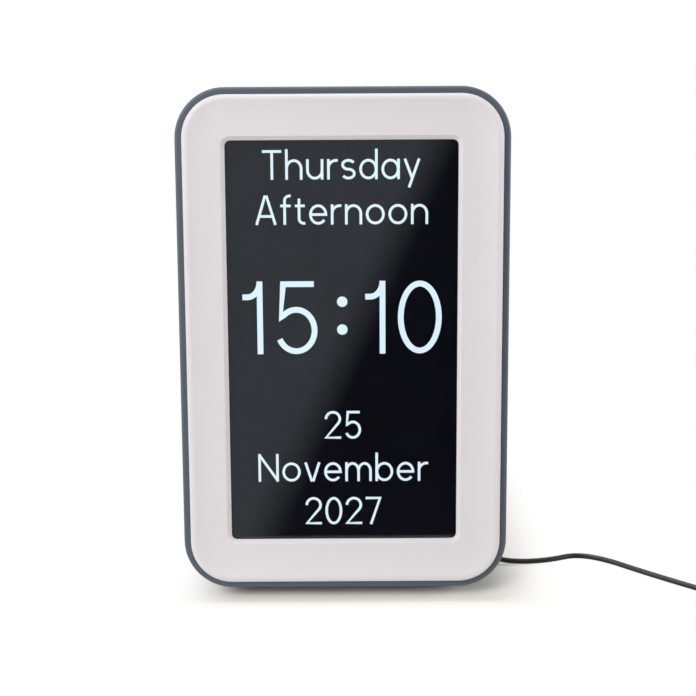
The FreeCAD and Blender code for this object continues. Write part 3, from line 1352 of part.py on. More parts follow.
def make_cord():
    """The lead from the plug to the coil, the coil, its tail to the adapter, and the tie."""
    doc.recompute()
    radius = size("cord_radius")
    straight = 2 * radius
    quarters = round(4 * coil_turns())
    knots = [k / 4 for k in range(quarters + 1)]
    points = [coil_point(t) for t in knots]
    ways = [coil_direction(t) for t in knots]
    ways[0] = Vector(0, -1, 0)
    ways[-1] = Vector(0, 1, 0)
    start = points[0] - ways[0] * straight
    end = points[-1] + ways[-1] * straight
    edges = [Part.LineSegment(start, points[0]).toShape()]
    for k in range(quarters):
        edges += arc_pair(points[k], ways[k], points[k + 1], ways[k + 1])
    edges.append(Part.LineSegment(points[-1], end).toShape())
    line = Part.Wire(edges)
    report_least_gap(line, radius)
    shape_part("cord_coil", sweep_round(line, radius, "cord_coil"))

    relief_end = case_frame.Placement.multVec(
        Vector(value_of(JACK_ACROSS), size("jack_up"), 0)
        + FreeCAD.Rotation(Vector(0, 0, 1), -size("plug_turn")).multVec(
            Vector(size("plug_reach"), 0, -size("plug_arm_in"))
        )
    )
    relief_way = case_frame.Placement.Rotation.multVec(
        FreeCAD.Rotation(Vector(0, 0, 1), -size("plug_turn")).multVec(Vector(1, 0, 0))
    )
    leaving = relief_end + relief_way * size("lead_in")
    arriving = start - ways[0] * size("lead_in")
    route = [relief_end, leaving] + [Vector(*p) for p in CORD_ROUTE] + [arriving, start]
    wire, lead_length = run_and_arc_wire(route, "supply_cord")
    shape_part("supply_cord", sweep_round(wire, radius, "supply_cord"))

    relief = Vector(end.x, size("tail_long") - size("coil_front"), end.z)
    tail = Part.Wire([Part.LineSegment(end, relief).toShape()])
    shape_part("cord_tail", sweep_round(tail, radius, "cord_tail"))
    print("whole cord", round(lead_length + line.Length + tail.Length, 1))


def report_least_gap(line, radius):
    """Print the least gap between the coil's turns, measured on points of its middle line."""
    step = radius / 2
    count = int(line.Length / step)
    points = line.discretize(Number=count)
    apart = int(4 * radius / step) + 1
    least = min(
        (points[i] - points[j]).Length for i in range(count) for j in range(i + apart, count)
    )
    print("cord_coil turns", coil_turns(), "least gap to itself", round(least - 2 * radius, 3))


# Tie round the coil's front, and the mains adapter that lies behind the coil
def make_tie_and_adapter():
    tie = new_body("coil_tie")
    bundle = f"({TURN_PITCH} * (layer_turns + 0.5) + 2 * cord_radius)"
    stack = f"({TURN_PITCH} * (layer_count - 1) + 2 * cord_radius)"
    place = {"x": "-coil_front - coil_mean", "y": f"tie_thick + tie_gap + {stack} / 2"}
    loop = sketch(tie, "tie_loop", role="YZ_Plane", z="coil_across", **place)
    for grow, corner in (("2 * tie_gap + 2 * tie_thick", "3 * tie_thick"), ("2 * tie_gap", "2 * tie_thick")):
        draw_rounded(loop, f"({bundle} + {grow})", f"({stack} + {grow})", f"({corner})")
    pad(tie, loop, "tie_width", midplane=True)
    on_table(tie)

    relief = new_body("adapter_relief_boot")
    side = sketch(relief, "relief_side")
    draw_outline(
        side,
        [
            (FLAT, FLAT),
            ("relief_tip", FLAT),
            ("relief_root", "0.8 * adapter_relief"),
            ("1.3 * relief_root", "0.84 * adapter_relief"),
            ("1.3 * relief_root", "adapter_relief"),
            (FLAT, "adapter_relief"),
        ],
    )
    turn_profile(relief, side, "V_Axis")
    on_table(relief, ADAPTER_ACROSS, RELIEF_START, CORD_END_UP)

    case = new_body("adapter_case")
    outline = sketch(case, "adapter_end", role="XZ_Plane")
    draw_rounded(outline, "adapter_width", "adapter_tall", "adapter_round", y="adapter_tall / 2")
    pad(case, outline, "adapter_long", down=True)
    ends = {0.0, size("adapter_long")}
    fillet(
        case,
        "adapter_round / 2",
        lambda edge: edge.BoundBox.YLength < 1e-4 and any(abs(edge.BoundBox.YMin - e) < 1e-3 for e in ends),
    )
    on_table(case, ADAPTER_ACROSS, ADAPTER_START)
    nose = new_body("adapter_nose")
    nose_end = sketch(nose, "nose_end", role="XZ_Plane")
    draw_rounded(nose_end, "nose_width", "nose_tall", "(0.4 * nose_tall)", y="adapter_tall / 2")
    pad(nose, nose_end, "nose_long", down=True)
    on_table(nose, ADAPTER_ACROSS, NOSE_START)
    blades = new_body("adapter_pins")
    blade_ends = sketch(blades, "blade_ends", role="XZ_Plane")
    for side in ("", "-"):
        draw_circle(blade_ends, "blade_radius", f"{side}blade_pitch / 2", "adapter_tall / 2")
    pad(blades, blade_ends, "blade_long", down=True)
    tips = size("blade_long")
    fillet(blades, "blade_round", lambda edge: abs(edge.BoundBox.YMin - tips) < 1e-3)
    on_table(blades, ADAPTER_ACROSS, BLADE_START)


def lead_connectors():
    """Small connectors where the inner leads end."""
    side = "lead_plug_side"
    thick = "lead_plug_thick"
    block_group(
        "lead_connectors",
        [
            (side, side, thick, JACK_ACROSS, SOCKET_PLUG_UP, POWER_TOP),
            (side, side, thick, POWER_PLUG_ACROSS, POWER_PLUG_UP, BOARD_TOP),
            (side, side, thick, "speaker_plug_across", SPEAKER_PLUG_UP, BOARD_TOP),
        ],
    )


make_rear_housing()
make_front_bezel()
make_display()
make_screws("panel_screws", CLIP_POSTS, CLIP_LEVEL, *SMALL_SCREW, True)
make_screws("case_screws", CASE_SCREWS, "screw_seat", *CASE_SCREW, True)
make_boards()
make_keys()
make_speaker()
make_stand()
make_foot()
make_supply()
lead_connectors()
make_inner_leads()
make_cord()
make_tie_and_adapter()
doc.recompute()

for thing in doc.Objects:
    if "Invalid" in thing.State or "Error" in thing.State:
        raise RuntimeError(f"{thing.Name} failed: {thing.State}")
for part in PARTS:
    if part.Shape.isNull() or not part.Shape.isValid() or not part.Shape.Solids:
        raise RuntimeError(f"{part.Label} is not a sound solid")

os.makedirs("parts", exist_ok=True)
for part in PARTS:
    part.Shape.exportStep(f"parts/{part.Label}.step")
print(len(PARTS), "nodes")
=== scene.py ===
import json
import math

import bmesh
import bpy
from mathutils import Matrix, Vector


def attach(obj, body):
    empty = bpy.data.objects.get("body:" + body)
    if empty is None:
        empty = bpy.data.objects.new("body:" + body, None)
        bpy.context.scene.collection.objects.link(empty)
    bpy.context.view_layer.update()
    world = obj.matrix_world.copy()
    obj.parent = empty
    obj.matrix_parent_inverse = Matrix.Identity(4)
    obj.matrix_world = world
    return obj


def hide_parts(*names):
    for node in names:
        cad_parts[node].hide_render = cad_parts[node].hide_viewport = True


# Looks of the portrait day clock. Lengths are in metres and angles in degrees.

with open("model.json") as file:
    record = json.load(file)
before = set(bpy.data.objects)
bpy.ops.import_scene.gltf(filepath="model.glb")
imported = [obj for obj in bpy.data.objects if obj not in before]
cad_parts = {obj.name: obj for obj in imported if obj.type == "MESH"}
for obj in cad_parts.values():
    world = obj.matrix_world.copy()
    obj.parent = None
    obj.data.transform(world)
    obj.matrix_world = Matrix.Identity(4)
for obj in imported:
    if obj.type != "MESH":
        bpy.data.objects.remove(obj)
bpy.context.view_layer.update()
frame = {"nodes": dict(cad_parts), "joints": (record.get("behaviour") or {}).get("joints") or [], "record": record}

MM = 0.001
nodes = frame["nodes"]

# The leaning face: across, up the face and out of it. The buttons travel along its outward direction.
ACROSS = Vector((1, 0, 0))
OUT = Vector(next(j["axis"] for j in frame["joints"] if j["name"] == "menu_press")).normalized()
UP = OUT.cross(ACROSS)


def on_face(across, up, out):
    """A point given along the leaning face, from the origin."""
    return ACROSS * across + UP * up + OUT * out


def face_box(node):
    """Lowest and highest corner of a CAD node along the leaning face's directions."""
    places = [(v.co.dot(ACROSS), v.co.dot(UP), v.co.dot(OUT)) for v in nodes[node].data.vertices]
    return [Vector([pick(p[k] for p in places) for k in range(3)]) for pick in (min, max)]


case_low = face_box("rear_housing")[0]


def in_case(across, up, out):
    """A point given from the middle of the lower edge of the case's back."""
    return on_face(across, case_low.y + up, case_low.z + out)


# Camera, fitted to the corners of the window, the bezel and the case in the photograph
IMAGE_SIDE = 696
FOCAL_PIXELS = 1100
CAMERA_PLACE = Vector((1.5, -399.03, 224.8)) * MM
CAMERA_DOWN = 17.39
CAMERA_ROLL = -0.32


def make_camera():
    data = bpy.data.cameras.new("camera")
    data.lens = FOCAL_PIXELS * data.sensor_width / IMAGE_SIDE
    camera = bpy.data.objects.new("camera", data)
    tilt = Matrix.Rotation(math.radians(90 - CAMERA_DOWN), 4, "X")
    roll = Matrix.Rotation(math.radians(CAMERA_ROLL), 4, "Z")
    camera.matrix_world = Matrix.Translation(CAMERA_PLACE) @ tilt @ roll
    bpy.context.scene.collection.objects.link(camera)
    bpy.context.scene.camera = camera


# Supply lead: free stretch, coil and tail as one line
CORD_DIAMETER = 2.2 * MM
JACK = (38.5 * MM, 12.5 * MM)
PLUG_BEHIND = 5 * MM
PLUG_REACH = 19 * MM
PLUG_TURN = 22
LEAD_IN = 8.5 * MM
CORD_ROUTE = [
    (0.0750, 0.0140, 0.00115),
    (0.0865, 0.0158, 0.0011),
    (0.0975, 0.0202, 0.0011),
    (0.1090, 0.0160, 0.0011),
    (0.1210, 0.0060, 0.0011),
    (0.1340, -0.0038, 0.0011),
    (0.1465, -0.0131, 0.0013),
]
COIL_MIDDLE = Vector((0.172, -0.0365, 0.0024))
COIL_MEAN = 15.6 * MM
COIL_PITCH = 2.65 * MM
LAYER_TURNS = 2.5
CLIMB_TURNS = 0.5
LAYERS = 4
TAIL_LENGTH = 14 * MM
POINTS_PER_TURN = 18


def coil_point(turn):
    """The coil spirals in and out at a steady rate and climbs a layer where the spiral reverses."""
    period = LAYER_TURNS + CLIMB_TURNS
    phase = (turn + CLIMB_TURNS / 2) % (2 * period)
    inward = min(phase, 2 * period - phase) - CLIMB_TURNS / 2
    radius = COIL_MEAN + COIL_PITCH * (LAYER_TURNS / 2 - inward)
    whole, part = divmod(turn, period)
    rise = max(0, (part - LAYER_TURNS) / CLIMB_TURNS)
    level = whole + rise - math.sin(2 * math.pi * rise) / (2 * math.pi)
    angle = math.pi * (1 + 2 * turn)
    return COIL_MIDDLE + Vector((radius * math.cos(angle), radius * math.sin(angle), COIL_PITCH * level))


def coil_controls():
    """Control points a little outside the turns, because the curve touches the middles of its sides."""
    turns = LAYERS * LAYER_TURNS + (LAYERS - 1) * CLIMB_TURNS
    count = round(turns * POINTS_PER_TURN)
    outside = 1 / math.cos(math.pi / POINTS_PER_TURN)
    found = []
    for k in range(1, count):
        point = coil_point(turns * k / count)
        axis = Vector((COIL_MIDDLE.x, COIL_MIDDLE.y, point.z))
        found.append(axis + (point - axis) * outside)
    return [coil_point(0)] + found + [coil_point(turns)]


def make_cord(name, points):
    """A round tube along the points. Each point carries its half width, which keeps the bounds true."""
    data = bpy.data.curves.new(name, "CURVE")
    data.dimensions = "3D"
    data.bevel_depth = 1.0
    data.bevel_resolution = 5
    data.resolution_u = 6
    line = data.splines.new("NURBS")
    line.points.add(len(points) - 1)
    for control, point in zip(line.points, points):
        control.co = (*point, 1)
        control.radius = CORD_DIAMETER / 2
    line.order_u = 3
    line.use_endpoint_u = True
    made = bpy.data.objects.new(name, data)
    bpy.context.scene.collection.objects.link(made)
    return made


def make_supply_lead():
    turn = math.radians(PLUG_TURN)
    way = ACROSS * math.cos(turn) - UP * math.sin(turn)
    leaving = in_case(*JACK, -PLUG_BEHIND) + way * PLUG_REACH
    straight = Vector((0, 1, 0))
    coil = coil_controls()
    points = [leaving, leaving + way * LEAD_IN]
    points += [Vector(p) for p in CORD_ROUTE]
    points += [coil[0] + straight * (LEAD_IN + CORD_DIAMETER), coil[0] + straight * CORD_DIAMETER]
    points += coil
    points += [coil[-1] + straight * CORD_DIAMETER, coil[-1] + straight * TAIL_LENGTH]
    lead = make_cord("supply_lead", points)
    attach(lead, "case")
    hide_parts("supply_cord", "cord_coil", "cord_tail")
    return lead


make_camera()
supply_lead = make_supply_lead()


# Material helpers
def linear(red, green, blue):
    """A colour as seen, 0 to 255, in the renderer's linear scale."""
    shares = [c / 255 for c in (red, green, blue)]
    return [((c + 0.055) / 1.055) ** 2.4 if c > 0.04 else c / 12.92 for c in shares] + [1]


def shaded(colour, factor):
    return [min(1, c * factor) for c in colour[:3]] + [1]


class Finish:
    """A material's node tree with short calls for the nodes that the finishes share."""

    def __init__(self, name):
        self.material = bpy.data.materials.new(name)
        self.material.use_nodes = True
        self.tree = self.material.node_tree
        self.shader = self.tree.nodes["Principled BSDF"]
        self.place = self.add("TexCoord").outputs["Object"]

    def add(self, kind, sockets=None, **settings):
        made = self.tree.nodes.new("ShaderNode" + kind)
        for name, value in settings.items():
            setattr(made, name, value)
        for name, value in (sockets or {}).items():
            if isinstance(value, bpy.types.NodeSocket):
                self.tree.links.new(value, made.inputs[name])
            else:
                made.inputs[name].default_value = value
        return made

    def set(self, **values):
        for name, value in values.items():
            socket = self.shader.inputs[name.replace("_", " ")]
            if isinstance(value, bpy.types.NodeSocket):
                self.tree.links.new(value, socket)
            else:
                socket.default_value = value

    def stretched(self, scale):
        return self.add("Mapping", {"Vector": self.place, "Scale": scale}).outputs["Vector"]

    def noise(self, size, detail=2, rough=0.5, place=None):
        """Noise whose features are about size metres across."""
        sockets = {"Vector": place or self.place, "Scale": 1 / size, "Detail": detail, "Roughness": rough}
        return self.add("TexNoise", sockets).outputs["Fac"]

    def cells(self, size, feature="F1", place=None):
        sockets = {"Vector": place or self.place, "Scale": 1 / size}
        return self.add("TexVoronoi", sockets, feature=feature).outputs["Distance"]

    def spread(self, value, low, high, start=0.3, end=0.7):
        sockets = {"Value": value, "From Min": start, "From Max": end, "To Min": low, "To Max": high}
        return self.add("MapRange", sockets).outputs["Result"]

    def blend(self, factor, first, second):
        made = self.add("Mix", {"Factor": factor}, data_type="RGBA")
        for socket, value in ((made.inputs[6], first), (made.inputs[7], second)):
            if isinstance(value, bpy.types.NodeSocket):
                self.tree.links.new(value, socket)
            else:
                socket.default_value = value
        return made.outputs[2]

    def relief(self, height, depth, normal=None, strength=1):
        sockets = {"Height": height, "Distance": depth, "Strength": strength}
        if normal:
            sockets["Normal"] = normal
        return self.add("Bump", sockets).outputs["Normal"]

    def soft_edge(self, radius):
        return self.add("Bevel", {"Radius": radius}, samples=6).outputs["Normal"]


def moulded(name, colour, rough, grain, depth, edge=0.3 * MM, mottle=0.03, **values):
    """Moulded plastic or rubber: a fine grain, a faint mottling and edges that catch the light."""
    finish = Finish(name)
    clouds = finish.noise(22 * MM, detail=3)
    specks = finish.noise(grain * 3, detail=1)
    pale, deep = shaded(colour, 1 + mottle), shaded(colour, 1 - mottle)
    tone = finish.blend(finish.spread(clouds, 0, 1), deep, pale)
    speckled = finish.blend(0.5, tone, shaded(colour, 1 - 1.5 * mottle))
    finish.set(Base_Color=finish.blend(finish.spread(specks, 0, 1, 0.35, 0.65), tone, speckled))
    finish.set(Roughness=finish.spread(finish.noise(9 * MM, detail=4), rough - 0.04, rough + 0.05))
    skin = finish.relief(finish.noise(grain, detail=2), depth, finish.soft_edge(edge))
    finish.set(Normal=skin, **values)
    return finish.material


def metal(name, colour, rough, stretch=(1, 1, 1), depth=0.004 * MM):
    """Metal with fine lines along the direction in which the noise is stretched."""
    finish = Finish(name)
    lines = finish.noise(0.25 * MM, detail=4, place=finish.stretched(stretch))
    stain = finish.noise(6 * MM, detail=4)
    finish.set(
        Metallic=1.0,
        Base_Color=finish.blend(finish.spread(stain, 0, 1), shaded(colour, 0.92), colour),
        Roughness=finish.spread(lines, rough - 0.07, rough + 0.08),
        Normal=finish.relief(lines, depth, finish.soft_edge(0.12 * MM)),
    )
    return finish.material


def make_lens():
    """Clear front glass with a faint cool tint."""
    finish = Finish("lens")
    wipe = finish.noise(35 * MM, detail=5, rough=0.6)
    finish.set(
        Base_Color=finish.blend(finish.spread(wipe, 0, 1), linear(250, 253, 255), linear(246, 250, 253)),
        Roughness=0.0,
        IOR=1.5,
        Transmission_Weight=1.0,
    )
    return finish.material


PANEL_GLOW = linear(5, 4, 11)


def make_panel():
    """The dark cell of the display, which lets a trace of its back light through."""
    finish = Finish("panel")
    clouds = finish.noise(45 * MM, detail=2)
    glow = finish.blend(finish.spread(clouds, 0, 1), shaded(PANEL_GLOW, 0.8), shaded(PANEL_GLOW, 1.2))
    finish.set(
        Base_Color=finish.blend(finish.spread(clouds, 0, 1), linear(7, 7, 10), linear(9, 9, 12)),
        Roughness=0.45,
        Specular_IOR_Level=0.1,
        Emission_Color=glow,
        Emission_Strength=1.0,
    )
    return finish.material


def make_board():
    """Green lacquer over tracks and pads."""
    finish = Finish("board")
    tracks = finish.cells(3.2 * MM, "DISTANCE_TO_EDGE")
    pads = finish.cells(1.7 * MM)
    along = finish.spread(tracks, 1, 0, 0.05, 0.09)
    lacquer = finish.blend(along, linear(16, 74, 44), linear(34, 108, 64))
    tin = finish.spread(pads, 1, 0, 0.12, 0.15)
    finish.set(
        Base_Color=finish.blend(tin, lacquer, linear(190, 190, 180)),
        Roughness=finish.spread(finish.noise(4 * MM), 0.25, 0.4),
        Normal=finish.relief(tracks, 0.02 * MM, finish.soft_edge(0.1 * MM)),
    )
    return finish.material


def make_ribbon():
    """Amber film with copper lines along the ribbon."""
    finish = Finish("ribbon")
    sockets = {"Vector": finish.place, "Scale": 160.0, "Distortion": 0.0}
    lines = finish.add("TexWave", sockets, bands_direction="X")
    copper = finish.spread(lines.outputs["Fac"], 0, 1, 0.45, 0.55)
    finish.set(
        Base_Color=finish.blend(copper, linear(150, 78, 24), linear(205, 128, 52)),
        Roughness=finish.spread(finish.noise(3 * MM), 0.25, 0.4),
        Normal=finish.relief(copper, 0.01 * MM),
    )
    return finish.material


def make_foam():
    finish = Finish("foam")
    pores = finish.cells(0.5 * MM)
    finish.set(
        Base_Color=finish.blend(finish.spread(pores, 0, 1), linear(18, 18, 19), linear(46, 46, 48)),
        Roughness=finish.spread(pores, 0.85, 1.0),
        Normal=finish.relief(pores, 0.2 * MM),
    )
    return finish.material


def make_cone():
    """Pressed paper with fine fibres."""
    finish = Finish("cone")
    fibres = finish.noise(0.4 * MM, detail=5, place=finish.stretched((1, 0.25, 1)))
    finish.set(
        Base_Color=finish.blend(finish.spread(fibres, 0, 1), linear(22, 22, 24), linear(48, 47, 46)),
        Roughness=finish.spread(fibres, 0.7, 0.9),
        Normal=finish.relief(fibres, 0.05 * MM),
    )
    return finish.material


def make_clear():
    """Acrylic light guide with printed dots."""
    finish = Finish("clear_plastic")
    dots = finish.cells(1.2 * MM)
    print_edge = finish.spread(dots, 0, 1, 0.15, 0.2)
    finish.set(
        Base_Color=finish.blend(print_edge, linear(255, 255, 255), linear(236, 244, 242)),
        Roughness=finish.spread(dots, 0.4, 0.05, 0.15, 0.2),
        IOR=1.49,
        Transmission_Weight=0.9,
    )
    return finish.material


def make_cord_skin():
    """Dark soft sheath with a dull shine and fine lines from drawing."""
    finish = Finish("cord")
    clouds = finish.noise(7 * MM, detail=3)
    grain = finish.noise(0.3 * MM, detail=2)
    finish.set(
        Base_Color=finish.blend(finish.spread(clouds, 0, 1), linear(15, 15, 17), linear(21, 21, 24)),
        Roughness=finish.spread(clouds, 0.28, 0.38),
        Normal=finish.relief(grain, 0.005 * MM),
    )
    return finish.material


HOUSING = linear(74, 84, 95)
BEZEL = linear(215, 210, 213)
FINISHES = {
    "housing": lambda: moulded("housing", HOUSING, 0.5, 0.35 * MM, 0.02 * MM, mottle=0.04),
    "bezel": lambda: moulded(
        "bezel", BEZEL, 0.42, 0.5 * MM, 0.004 * MM, 0.25 * MM, 0.008, Specular_IOR_Level=0.35
    ),
    "lens": make_lens,
    "tape": lambda: moulded("tape", linear(20, 20, 22), 0.6, 0.3 * MM, 0.01 * MM),
    "panel": make_panel,
    "module_plastic": lambda: moulded("module_plastic", linear(232, 232, 228), 0.5, 0.4 * MM, 0.01 * MM),
    "sheet": lambda: moulded("sheet", linear(240, 241, 242), 0.6, 0.2 * MM, 0.006 * MM),
    "clear_plastic": make_clear,
    "steel": lambda: metal("steel", linear(196, 198, 200), 0.32, (1, 0.08, 1)),
    "screw": lambda: metal("screw", linear(70, 72, 76), 0.36),
    "board": make_board,
    "chip": lambda: moulded("chip", linear(28, 28, 31), 0.55, 0.15 * MM, 0.01 * MM),
    "connector": lambda: moulded("connector", linear(222, 216, 196), 0.45, 0.3 * MM, 0.01 * MM),
    "cell_steel": lambda: metal("cell_steel", linear(206, 207, 210), 0.24),
    "ribbon": make_ribbon,
    "button": lambda: moulded("button", linear(64, 72, 80), 0.45, 0.3 * MM, 0.012 * MM),
    "power_key": lambda: moulded("power_key", linear(150, 44, 40), 0.45, 0.3 * MM, 0.012 * MM),
    "foam": make_foam,
    "cone": make_cone,
    "rubber": lambda: moulded("rubber", linear(34, 35, 38), 0.75, 0.25 * MM, 0.03 * MM),
    "contact": lambda: metal("contact", linear(212, 206, 190), 0.2, (1, 1, 0.1)),
    "lead": lambda: moulded("lead", linear(170, 30, 30), 0.45, 0.4 * MM, 0.008 * MM),
    "cord": make_cord_skin,
    "tie": lambda: moulded("tie", linear(26, 26, 28), 0.6, 0.25 * MM, 0.02 * MM),
    "adapter": lambda: moulded("adapter", linear(30, 31, 34), 0.42, 0.4 * MM, 0.025 * MM),
}


def dress_nodes():
    """Each CAD node takes the finish of its material slot in the record."""
    made = {slot: build() for slot, build in FINISHES.items()}
    for part in frame["record"]["subparts"]:
        mesh = nodes[part["node"]].data
        mesh.materials.clear()
        mesh.materials.append(made[part["material_slot"]])
    supply_lead.data.materials.append(made["cord"])
    return made


materials = dress_nodes()

# Lit characters on the display. All shares are of a capital's height.
X_HEIGHT = 0.69
ASCENDER = 1.03
ARCH = 0.32
WORD_GAP = 0.125
TIME_GAP = 0.17
ARC_STEP = 9
MITRE_LIMIT = 1.5
COLON_DOT = 0.032


def arc(x, y, across, tall, start, end):
    count = max(2, round(abs(end - start) / ARC_STEP))
    angles = [math.radians(start + (end - start) * k / count) for k in range(count + 1)]
    return [(x + across * math.cos(a), y + tall * math.sin(a)) for a in angles]


def characters(half):
    """Width and centre lines of each character, for strokes of that half width."""
    top = 1 - half
    lower_top = X_HEIGHT - half

    def ring(left, right, low, high):
        across, tall = (right - left) / 2 - half, (high - low) / 2 - half
        return arc((left + right) / 2, (low + high) / 2, across, tall, 0, 360)[:-1], True

    def open_line(*points):
        return list(points), False

    def stem(x, low, high):
        return open_line((x, low), (x, high))

    def arch(left, right):
        bend = arc((left + right) / 2, X_HEIGHT - ARCH, (right - left) / 2 - half, ARCH - half, 180, 0)
        return open_line(*bend, (right - half, 0))

    def ess(width, high):
        """Two bowls, the upper one open to the right and the lower one to the left."""
        bowl = (high + 2 * half) / 4
        upper = arc(width / 2, high - bowl, width / 2 - half, bowl - half, 28, 270)
        lower = arc(width / 2, bowl, width / 2 - half, bowl - half, 90, -152)
        return open_line(*upper, *lower[1:])

    def dot(x, y):
        return arc(x, y, COLON_DOT, COLON_DOT, 0, 360)[:-1], True

    hook = 0.2
    return {
        "T": (0.66, [open_line((0, top), (0.66, top)), stem(0.33, 0, top)]),
        "A": (
            0.74,
            [
                open_line((half, 0), (0.35, 1)),
                open_line((0.39, 1), (0.74 - half, 0)),
                open_line((0.15, 0.29), (0.59, 0.29)),
            ],
        ),
        "N": (
            0.72,
            [
                stem(half, 0, 1),
                stem(0.72 - half, 0, 1),
                open_line((half, top), (0.72 - half, half)),
            ],
        ),
        "a": (0.63, [ring(0, 0.62, 0, X_HEIGHT), stem(0.63 - half, 0, X_HEIGHT)]),
        "b": (0.63, [ring(0.01, 0.63, 0, X_HEIGHT), stem(half, 0, ASCENDER)]),
        "d": (0.63, [ring(0, 0.62, 0, X_HEIGHT), stem(0.63 - half, 0, ASCENDER)]),
        "e": (
            0.62,
            [
                open_line(
                    (half, X_HEIGHT / 2),
                    *arc(0.31, X_HEIGHT / 2, 0.31 - half, lower_top - X_HEIGHT / 2, 0, 322),
                ),
            ],
        ),
        "f": (
            0.38,
            [
                open_line((0.15, 0), *arc(0.33, ASCENDER - hook, 0.18, hook - half, 180, 80)),
                open_line((0, lower_top), (0.36, lower_top)),
            ],
        ),
        "h": (0.59, [stem(half, 0, ASCENDER), arch(0, 0.59)]),
        "m": (0.94, [stem(half, 0, X_HEIGHT), arch(0, 0.47 + half), arch(0.47 - half, 0.94)]),
        "n": (0.59, [stem(half, 0, X_HEIGHT), arch(0, 0.59)]),
        "o": (0.65, [ring(0, 0.65, 0, X_HEIGHT)]),
        "r": (
            0.36,
            [
                stem(half, 0, X_HEIGHT),
                open_line(*arc(0.31, X_HEIGHT - 0.3, 0.31 - half, 0.3 - half, 180, 78)),
            ],
        ),
        "s": (0.49, [ess(0.49, X_HEIGHT)]),
        "t": (
            0.36,
            [
                open_line((0.14, X_HEIGHT + 0.2), *arc(0.32, hook, 0.18, hook - half, 180, 280)),
                open_line((0, lower_top), (0.34, lower_top)),
            ],
        ),
        "u": (
            0.59,
            [
                stem(0.59 - half, 0, X_HEIGHT),
                open_line((half, X_HEIGHT), *arc(0.295, ARCH, 0.295 - half, ARCH - half, 180, 360)),
            ],
        ),
        "v": (
            0.58,
            [
                open_line((half, X_HEIGHT), (0.27, 0)),
                open_line((0.31, 0), (0.58 - half, X_HEIGHT)),
            ],
        ),
        "y": (
            0.58,
            [
                open_line((half, X_HEIGHT), (0.30, 0.02)),
                open_line((0.58 - half, X_HEIGHT), (0.19, -0.28)),
            ],
        ),
        "0": (0.60, [ring(0, 0.60, 0, 1)]),
        "1": (
            0.275,
            [
                stem(0.275 - half, 0, 1),
                open_line((0, 0.785), *arc(0.07, 1, 0.205 - half, 0.215, 270, 360)),
            ],
        ),
        "2": (
            0.58,
            [
                open_line(*arc(0.29, 0.71, 0.29 - half, 0.29 - half, 180, -35), (half, half), (0.58, half)),
            ],
        ),
        "5": (
            0.58,
            [
                open_line(
                    (0.53, top),
                    (0.11, top),
                    (0.075, 0.5),
                    *arc(0.285, 0.325, 0.29 - half, 0.325 - half, 132, -155),
                ),
            ],
        ),
        "7": (0.56, [open_line((0, top), (0.56 - half, top), (0.19, 0))]),
        ":": (0.31, [dot(0.165, 0.335), dot(0.165, 0.717)]),
    }


def ribbon(bm, points, closed, half, settle):
    """A flat strip of even width along a line, with mitred corners."""
    count = len(points)
    line = [Vector(p) for p in points]
    sides = []
    for k, here in enumerate(line):
        before = line[k - 1] if closed or k else None
        after = line[(k + 1) % count] if closed or k < count - 1 else None
        arrive = (here - before).normalized() if before else (after - here).normalized()
        leave = (after - here).normalized() if after else arrive
        along = (arrive + leave).normalized()
        across = Vector((-along.y, along.x))
        reach = min(MITRE_LIMIT, 1 / max(0.1, along.dot(arrive)))
        sides.append([bm.verts.new(settle(here + across * (half * reach * way))) for way in (1, -1)])
    for k in range(count if closed else count - 1):
        first, second = sides[k], sides[(k + 1) % count]
        bm.faces.new((first[0], first[1], second[1], second[0]))


def link_mesh(name, bm, material):
    mesh = bpy.data.meshes.new(name)
    bm.to_mesh(mesh)
    bm.free()
    mesh.materials.append(material)
    made = bpy.data.objects.new(name, mesh)
    bpy.context.scene.collection.objects.link(made)
    return made


LIT = linear(226, 246, 255)


def make_lit():
    """Lit pixels: cool white with the fine grid of the cell."""
    finish = Finish("lit_pixels")
    pixels = finish.cells(0.15 * MM)
    finish.set(
        Base_Color=linear(8, 8, 10),
        Roughness=0.45,
        Emission_Color=finish.blend(finish.spread(pixels, 0, 1), shaded(LIT, 0.96), LIT),
        Emission_Strength=1.08,
    )
    return finish.material


CAPITAL = 11.1 * MM
TIME_CAPITAL = 28.2 * MM
WORD_STROKE = 0.092
TIME_STROKE = 0.079
LIT_BEFORE_CELL = 0.03 * MM
TEXT_SHIFT = -0.15 * MM
WORD_STYLE = (CAPITAL, WORD_STROKE, WORD_GAP)
TIME_STYLE = (TIME_CAPITAL, TIME_STROKE, TIME_GAP)
# name, characters, style, and baseline from the window's middle
TEXT_LINES = [
    ("lit_weekday", "Thursday", WORD_STYLE, 62.65 * MM),
    ("lit_daypart", "Afternoon", WORD_STYLE, 45.65 * MM),
    ("lit_time", "15:10", TIME_STYLE, -4.1 * MM),
    ("lit_day", "25", WORD_STYLE, -37.65 * MM),
    ("lit_month", "November", WORD_STYLE, -54.65 * MM),
    ("lit_year", "2027", WORD_STYLE, -72.05 * MM),
]


def make_text():
    material = make_lit()
    cell_low, cell_high = face_box("display_cell")
    middle = (cell_low + cell_high) / 2
    for name, text, (capital, stroke, gap), baseline in TEXT_LINES:
        shapes = characters(stroke / 2)
        width = sum(shapes[c][0] for c in text) + gap * (len(text) - 1)
        pen = -width / 2
        bm = bmesh.new()
        for character in text:
            advance, lines = shapes[character]

            def settle(point, start=pen):
                across = middle.x + TEXT_SHIFT + (start + point.x) * capital
                up = middle.y + baseline + point.y * capital
                return on_face(across, up, cell_high.z + LIT_BEFORE_CELL)

            for points, closed in lines:
                ribbon(bm, points, closed, stroke / 2, settle)
            pen += advance + gap
        bmesh.ops.recalc_face_normals(bm, faces=bm.faces)
        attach(link_mesh(name, bm, material), "case")


make_text()

# Cross recesses in the heads of the case screws, drawn as flat near-black crosses lying just proud of the heads:
# painted shade where the hollows would be, with no hollow cut
RECESS_ARM = 1.5 * MM
RECESS_HALF_WIDTH = 0.36 * MM
RECESS_PROUD = 0.01 * MM
HEAD_REACH = 6 * MM


